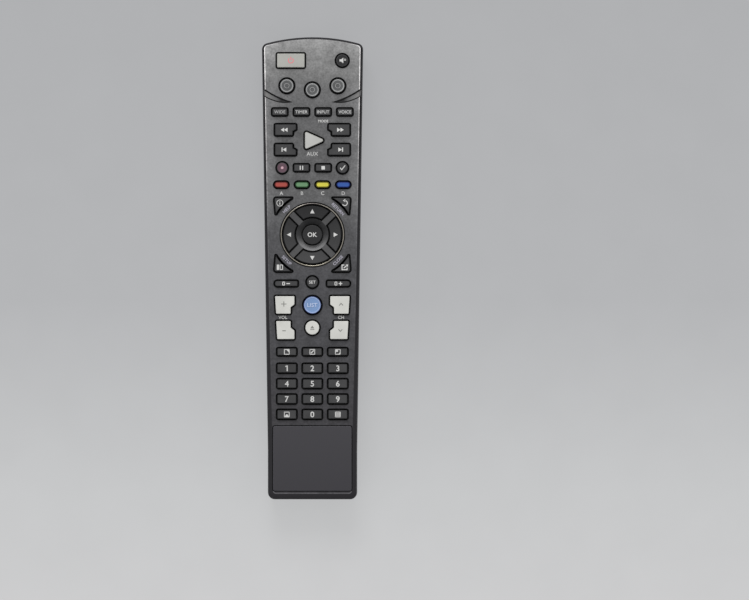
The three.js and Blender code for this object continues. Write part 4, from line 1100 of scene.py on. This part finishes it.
# Each colour key's top colour, and the darker painted shade of its rounded edge
COLOURS = {
    "red": ((164, 76, 68), (92, 30, 28)),
    "green": ((104, 142, 106), (44, 78, 48)),
    "yellow": ((204, 196, 74), (104, 98, 24)),
    "blue": ((52, 86, 156), (22, 38, 98)),
}

keys = []


def add_key(name, outline, finish=DARK, slot="dark_keys", x=None, y=None, flip=(1, 1), turn=0, **options):
    """A key round x, y, which is the middle of its solid where they aren't given."""
    middle = middle_of(name)
    size = box_size(name)
    top = box_mm(name)[1].z - PRINT_ROOM
    keys.append({
        "name": name,
        "outline": lambda grow: turned(flipped(outline(size, grow), *flip), turn),
        "finish": finish,
        "slot": slot,
        "place": Vector((middle.x if x is None else x, middle.y if y is None else y)),
        "top": lambda point: top,
        "edge": KEY_EDGE,
        "stem": (0, 0),
        "copies": (0,),
        "sign_place": (0, 0),
        **options,
    })


add_key("power_key", square_key, (light_key, light_key), "light_keys", sign=(POWER, red_ink, "red_key"))
for name, *sign in (
    ("function_key_1", words("WIDE", 1.45), dull_ink),
    ("function_key_2", words("TIMER", 1.45), pale_ink),
    ("function_key_3", words("INPUT", 1.45), pale_ink),
    ("function_key_4", words("VOICE", 1.45), pale_ink),
    ("pause_key", PAUSE),
    ("stop_key", STOP),
):
    add_key(name, square_key, sign=sign)
for name, finish, slot, *sign in (
    ("mute_key", (black_key, dark_key), "dark_keys", MUTE),
    ("record_key", (record_paint, dark_key), "record_key", RECORD, pink_ink, "red_key"),
    ("confirm_key", DARK, "dark_keys", CONFIRM),
    ("ok_key", (ok_rubber, dark_key_shaded_edge), "dark_keys", words("OK", 2.1)),
    ("favourite_key", DARK, "dark_keys", words("SET", 1.4)),
    ("eject_key", CREAM, "cream_keys", EJECT, grey_ink, "grey_keys"),
):
    add_key(name, round_key, finish, slot, sign=sign)
add_key("guide_key", round_key, GUIDE, "guide_key", sign=(words("LIST", 1.9), blue_ink), rim=True)
for side in ("left", "middle", "right"):
    add_key(f"source_key_{side}", round_key, SOURCE, "grey_keys", sign=(SOURCE_MARK, dull_ink), rim=True)
for name, side_x, side_y, is_track in (
    ("rewind_key", 1, 1, False), ("forward_key", -1, 1, False),
    ("previous_key", 1, -1, True), ("next_key", -1, -1, True),
):
    add_key(name, skip_key, flip=(side_x, side_y), sign=[skip(-side_x, is_track)],
            sign_place=(-SKIP_SIGN_SHIFT * side_x, 0))
add_key("play_key", play_key, (play_paint, light_key), "light_keys", x=box_mm("play_key")[0].x + FLANGE_REACH,
        stem=(PLAY_LENGTH / 3, 0))
for colour, (top_colour, shaded_edge_colour) in COLOURS.items():
    name = f"{colour}_key"
    top_paint = moulded(f"{name}_plastic", top_colour, 0.45, 0.05)
    shaded_edge_paint = moulded(f"{name}_shaded_edge_plastic", shaded_edge_colour, 0.45, 0.05)
    add_key(name, pill_key, (top_paint, shaded_edge_paint), name, edge=COLOUR_KEY_EDGE)
for side_x, side_y, name, marks in (
    (1, 1, "corner_key_upper_left", INFORMATION), (-1, 1, "corner_key_upper_right", RETURN),
    (1, -1, "corner_key_lower_left", MENU), (-1, -1, "corner_key_lower_right", LEAVE),
):
    add_key(name, corner_key, x=0, y=navigation.y, flip=(side_x, side_y), sign=[marks],
            stem=(-CORNER_KEY_STEM * side_x, CORNER_KEY_STEM * side_y),
            sign_place=(-CORNER_SIGN_PLACE * side_x, UPPER_CORNER_SIGN if side_y > 0 else LOWER_CORNER_SIGN))
add_key("page_key_left", page_key, sign=[PAGE_BACK])
add_key("page_key_right", page_key, flip=(-1, 1), sign=[PAGE_AHEAD])
upper_rocker = rocker_key(UPPER_ROCKER_TRIM, 0, ROCKER_SLANT)
lower_rocker = rocker_key(LOWER_ROCKER_TRIM, 2 * ROCKER_SLANT, -ROCKER_SLANT)
for side_x, side_y, name, outline, marks, sign_place in (
    (1, 1, "volume_up_key", upper_rocker, PLUS, (-0.4, 0.2)),
    (1, -1, "volume_down_key", lower_rocker, MINUS, (-0.3, -0.2)),
    (-1, 1, "channel_up_key", upper_rocker, WEDGE_UP, (0.55, 0)),
    (-1, -1, "channel_down_key", lower_rocker, WEDGE_DOWN, (0.2, 0)),
):
    add_key(name, outline, CREAM, "cream_keys", x=-side_x * ROCKER_PLACE, flip=(side_x, side_y),
            sign=(marks, grey_ink, "grey_keys"), sign_place=sign_place)
for name, marks in (
    ("icons", SCREENS), ("1_2_3", ONE_TO_THREE), ("4_5_6", digits("456")), ("7_8_9", digits("789")),
    ("0", LAST_ROW),
):
    add_key(f"pad_keys_{name}", pad_key, copies=PAD_COLUMNS, sign=[marks])
for i, name in enumerate(("up_key", "left_key", "down_key", "right_key")):
    ahead = turned([Vector((0, 1))], pi / 2 * i)[0]
    arrow = [(Print.fill, turned(triangle(2, 2.1), pi / 2 * (i + 1)))]
    add_key(name, sector_key, (navigation_key_rubber_and_shade, navigation_shaded_edge), x=0, y=navigation.y, turn=pi / 2 * i,
            stem=ahead * (SECTOR_OUTER + SECTOR_INNER) / 2, top=sector_height(box_mm(name)[1].z - PRINT_ROOM),
            is_folded=True, sign=[arrow], sign_place=ahead * ARROW_REACH)


def sign_on(key, marks, ink=white_ink, slot="cream_keys"):
    """Prints a sign on a key, round a place that is given from the key's own."""
    place = Vector(key["sign_place"])
    sign = Print(key["place"] + place, lambda point: key["top"](point + place))
    for draw, *values in marks:
        draw(sign, *values)
    add_piece(f"{key['name']}_sign", sign, [ink], key["name"])


KEY_GAP, KEY_TOP, KEY_EDGE_FACES, KEY_RIM = range(4)


def add_cap(shape, key, shift):
    """A cap with a rounded edge, the flange below the face and the stem that presses the mat."""
    outline = key["outline"]
    place = key["place"] + Vector((shift, 0))
    edge = key["edge"]
    steps = [(edge * into, edge * (1 - up), KEY_EDGE_FACES) for into, up in quarter(KEY_EDGE_STEPS)]
    if key.get("rim"):
        steps += [(RIM_WIDTH, 0, KEY_RIM), (RIM_WIDTH + RIM_STEP, RIM_STEP, KEY_RIM)]
    layers = [
        (moved(outline(FLANGE_REACH), *place), FLANGE_BOTTOM),
        (moved(outline(FLANGE_REACH), *place), FLANGE_TOP),
        (moved(outline(-CAP_INSET), *place), FLANGE_TOP),
    ]
    numbers = [KEY_GAP] * len(layers)
    for inset, fall, number in steps:
        ring = moved(outline(-CAP_INSET - inset), *place)
        layers.append((ring, lambda point, fall=fall: key["top"](point - place) - fall))
        numbers.append(number)
    shape.stack(layers, [*numbers, KEY_TOP], shape.folded if key.get("is_folded") else None)
    stem = moved(circle(STEM_RADIUS, STEM_STEPS), *(place + Vector(key["stem"])))
    shape.prism(stem, box_mm(key["name"])[0].z, FLANGE_BOTTOM, KEY_GAP)


def make_key(key):
    """One node's caps and sign, with a web under the face between each cap and the next."""
    shape = Shape()
    copies = key["copies"]
    for shift in copies:
        add_cap(shape, key, shift)
    for left, right in zip(copies, copies[1:]):
        web = rectangle(right - left - PAD_KEY_WIDTH - 2 * FLANGE_REACH, box_size(key["name"])[1], 0)
        shape.prism(moved(web, (left + right) / 2, key["place"].y), FLANGE_BOTTOM, FLANGE_TOP, KEY_GAP)
    name = key["name"]
    add_piece(f"{name}_cap", shape, [gap_rubber_and_shade, *key["finish"]], name, [name])
    if "sign" in key:
        sign_on(key, *key["sign"])


holes = Shape()
for key in keys:
    make_key(key)
    for shift in key["copies"]:
        cut_hole(holes, key["outline"], key["place"].x + shift, key["place"].y)

# The upper case, cut for the keys, the ring, the crescents, the plate and the window

pockets = Shape()
cut_navigation(pockets)
cut_crescent(pockets, 1)
cut_crescent(pockets, -1)
plate_size = plate_high - plate_low
plate_outline = moved(
    rectangle(plate_size.x, plate_size.y, PLATE_CORNER, -PLATE_INSET, CORNER_STEPS), 0,
    middle_of("front_plate").y - PLATE_INSET,
)
plate_mouth = offset(plate_outline, PLATE_INSET + SEAT)
pockets.prism(plate_mouth, FACE_TOP - PLATE_DEPTH - SEAT, FACE_TOP + OVERRUN, WALLS)

window = Shape()
window_low, window_high = box_mm("infrared_window")
start = window_low.y - OVERRUN
end = HEAD_END + OVERRUN
window_outline = rectangle(2 * (window_high.x - WINDOW_FLANGE + FIT), end - start, 0)
window_top = window_high.z - WINDOW_FLANGE + FIT
window.prism(moved(window_outline, 0, (start + end) / 2), SEAM_TOP - OVERRUN, window_top, RIM)

add_piece("upper_case_shell", case_blank(), CASE_MATERIALS, "case", ["upper_case"],
          [holes, pockets, window])

# Ring and plate


def make_ring():
    """A ring with a round crown, turned about the middle key."""
    inner = ring_radius - RING_WIDTH
    middle = (ring_radius + inner) / 2
    crown = RING_WIDTH / 2
    crown_points = arc(crown, 0, pi, RING_STEPS)
    profile = [
        (ring_radius, ring_low.z),
        *((middle + point.x, ring_high.z - crown + point.y) for point in crown_points),
        (inner, ring_low.z),
    ]
    shape = Shape()
    rings = [shape.ring(turned_ring(radius), height) for radius, height in profile]
    for lower, upper in zip(rings, rings[1:] + rings[:1]):
        shape.band(lower, upper)
    add_piece("navigation_ring_trim", shape, [ring_chrome_painted_reflection], "case", ["navigation_ring"])


PLATE_TOP, PLATE_SIDE = range(2)


def make_plate():
    start = FACE_TOP - SEAT
    layers = [(plate_outline, plate_low.z), (plate_outline, start)]
    for into, up in quarter(KEY_EDGE_STEPS)[1:]:
        layers.append((offset(plate_outline, -PLATE_EDGE * into), start + (plate_high.z - start) * up))
    shape = Shape()
    shape.stack(layers, [PLATE_SIDE] * len(layers) + [PLATE_TOP])
    paints = [plate_paint, plate_edge]
    add_piece("front_plate_panel", shape, paints, "case", ["front_plate"])


make_ring()
make_plate()

# Labels on the case


def label_case(name, text, height, place, ink, turn=0):
    """Prints words on the face of the case."""
    label = Print(place, lambda point: FACE_TOP)
    label.letters(text, height, turn=turn)
    add_piece(name, label, [ink], "case")


rocker_middle = (middle_of("volume_up_key").y + middle_of("volume_down_key").y) / 2
input_level = middle_of("play_key").y - INPUT_LABEL_DROP
mode_level = middle_of("function_key_3").y - MODE_LABEL_DROP
for name, text, height, place, ink, slot in (
    ("volume_label", "VOL", 1.5, (VOLUME_LABEL_PLACE, rocker_middle), white_ink, "cream_keys"),
    ("channel_label", "CH", 1.5, (CHANNEL_LABEL_PLACE, rocker_middle), white_ink, "cream_keys"),
    ("input_label", "AUX", 1.8, (0, input_level), pale_ink, "grey_keys"),
    ("mode_label", "MODE", 1.2, (MODE_LABEL_PLACE, mode_level), white_ink, "cream_keys"),
):
    label_case(name, text, height, place, ink)
for text, side_x, side_y in (("HELP", -1, 1), ("RETURN", 1, 1), ("SETUP", -1, -1), ("CLOSE", 1, -1)):
    place = Vector((side_x, side_y)).normalized() * WHEEL_LABEL_REACH + navigation.xy
    turn = -side_x * side_y * pi / 4
    label_case(f"{text.lower()}_label", text, 1.4, place, lilac_ink, turn)
colour_labels = Print((0, middle_of("red_key").y - COLOUR_LABEL_DROP), lambda point: FACE_TOP)
for letter, colour in zip("ABCD", COLOURS):
    colour_labels.letters(letter, 1.7, middle_of(f"{colour}_key").x)
add_piece("colour_labels", colour_labels, [pale_ink], "case")

# Solids that keep their own shape

node_finishes = {
    "lower_case": shell,
    "battery_cover": shell,
    "infrared_window": window_plastic,
    "infrared_led": diode_finish(),
    "keypad_mat": rubber,
    "circuit_board": board_finish(),
    "control_chip": chip_epoxy,
    "contact_positive": nickel,
    "contact_negative": nickel,
    "contact_bridge": nickel,
    "battery_left": battery_finish("battery_left", True),
    "battery_right": battery_finish("battery_right", False),
}
for name, finish in node_finishes.items():
    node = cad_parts[name]
    node.data.materials.clear()
    node.data.materials.append(finish)
    smooth(node)

# Floor, light and camera


def seen_rays(tree):
    """One where a ray comes from the camera, or from metal or glass."""
    path = add_node(tree, "ShaderNodeLightPath", {})
    seen = path.outputs["Is Camera Ray"]
    for ray in ("Is Glossy Ray", "Is Transmission Ray"):
        either = add_node(tree, "ShaderNodeMath", {0: seen, 1: path.outputs[ray]}, operation="MAXIMUM")
        seen = either.outputs["Value"]
    return seen


def make_floor():
    """A pale floor, painted lighter near the tail and darker beyond the head as a painted fall of light, part
    of whose tone is a glow that only the camera, metal and glass see.
    """
    shape = Shape()
    shape.face(shape.ring(rectangle(FLOOR_SIZE, FLOOR_SIZE, 0), 0))
    finish = Finish("floor_tone_and_painted_light", 0.9)
    base = finish.ramp(finish.along(FLOOR_NEAR, FLOOR_FAR), FLOOR_LIGHT_FALL_STOPS)
    colour = finish.times(base, finish.varied(finish.noise(FLOOR_SCALE, 3), FLOOR_VARIATION))
    finish.paint(colour)
    glow = finish.node("ShaderNodeEmission", {"Color": colour})
    inputs = {0: seen_rays(finish.tree), 1: FLOOR_GLOW_SHARE}
    share = finish.node("ShaderNodeMath", inputs, operation="MULTIPLY")
    inputs = {"Fac": share.outputs["Value"], 1: finish.shader.outputs["BSDF"], 2: glow.outputs["Emission"]}
    mix = finish.node("ShaderNodeMixShader", inputs)
    wire(finish.tree.nodes["Material Output"], {"Surface": mix.outputs["Shader"]})
    add_object("floor", shape.mesh("floor", [finish.material]))


def make_world():
    world = bpy.data.worlds.new("studio")
    bpy.context.scene.world = world
    world.use_nodes = True
    tree = world.node_tree
    inputs = {"Value": seen_rays(tree), "To Min": WORLD_LEVEL, "To Max": WORLD_SEEN}
    level = add_node(tree, "ShaderNodeMapRange", inputs)
    wire(tree.nodes["Background"], {"Strength": level.outputs["Result"], "Color": (1, 1, 1, 1)})


def make_lamp():
    lamp_data = bpy.data.lights.new("soft_lamp", "AREA")
    lamp_data.shape = "DISK"
    lamp_data.size = LAMP_SIZE * MM
    lamp_data.energy = LAMP_POWER
    lamp = add_object("soft_lamp", lamp_data)
    lamp.location = Vector(LAMP_PLACE) * MM
    lamp.rotation_euler = (-lamp.location).to_track_quat("-Z", "Y").to_euler()


def make_camera():
    camera_data = bpy.data.cameras.new("camera")
    camera_data.sensor_width = SENSOR
    camera_data.lens = SENSOR * CAMERA_DISTANCE / PICTURE_WIDTH
    camera = add_object("camera", camera_data)
    camera.location = (PICTURE_MIDDLE + Vector((0, 0, CAMERA_DISTANCE))) * MM
    bpy.context.scene.camera = camera


make_floor()
make_world()
make_lamp()
make_camera()
bpy.context.scene.view_settings.view_transform = "Standard"
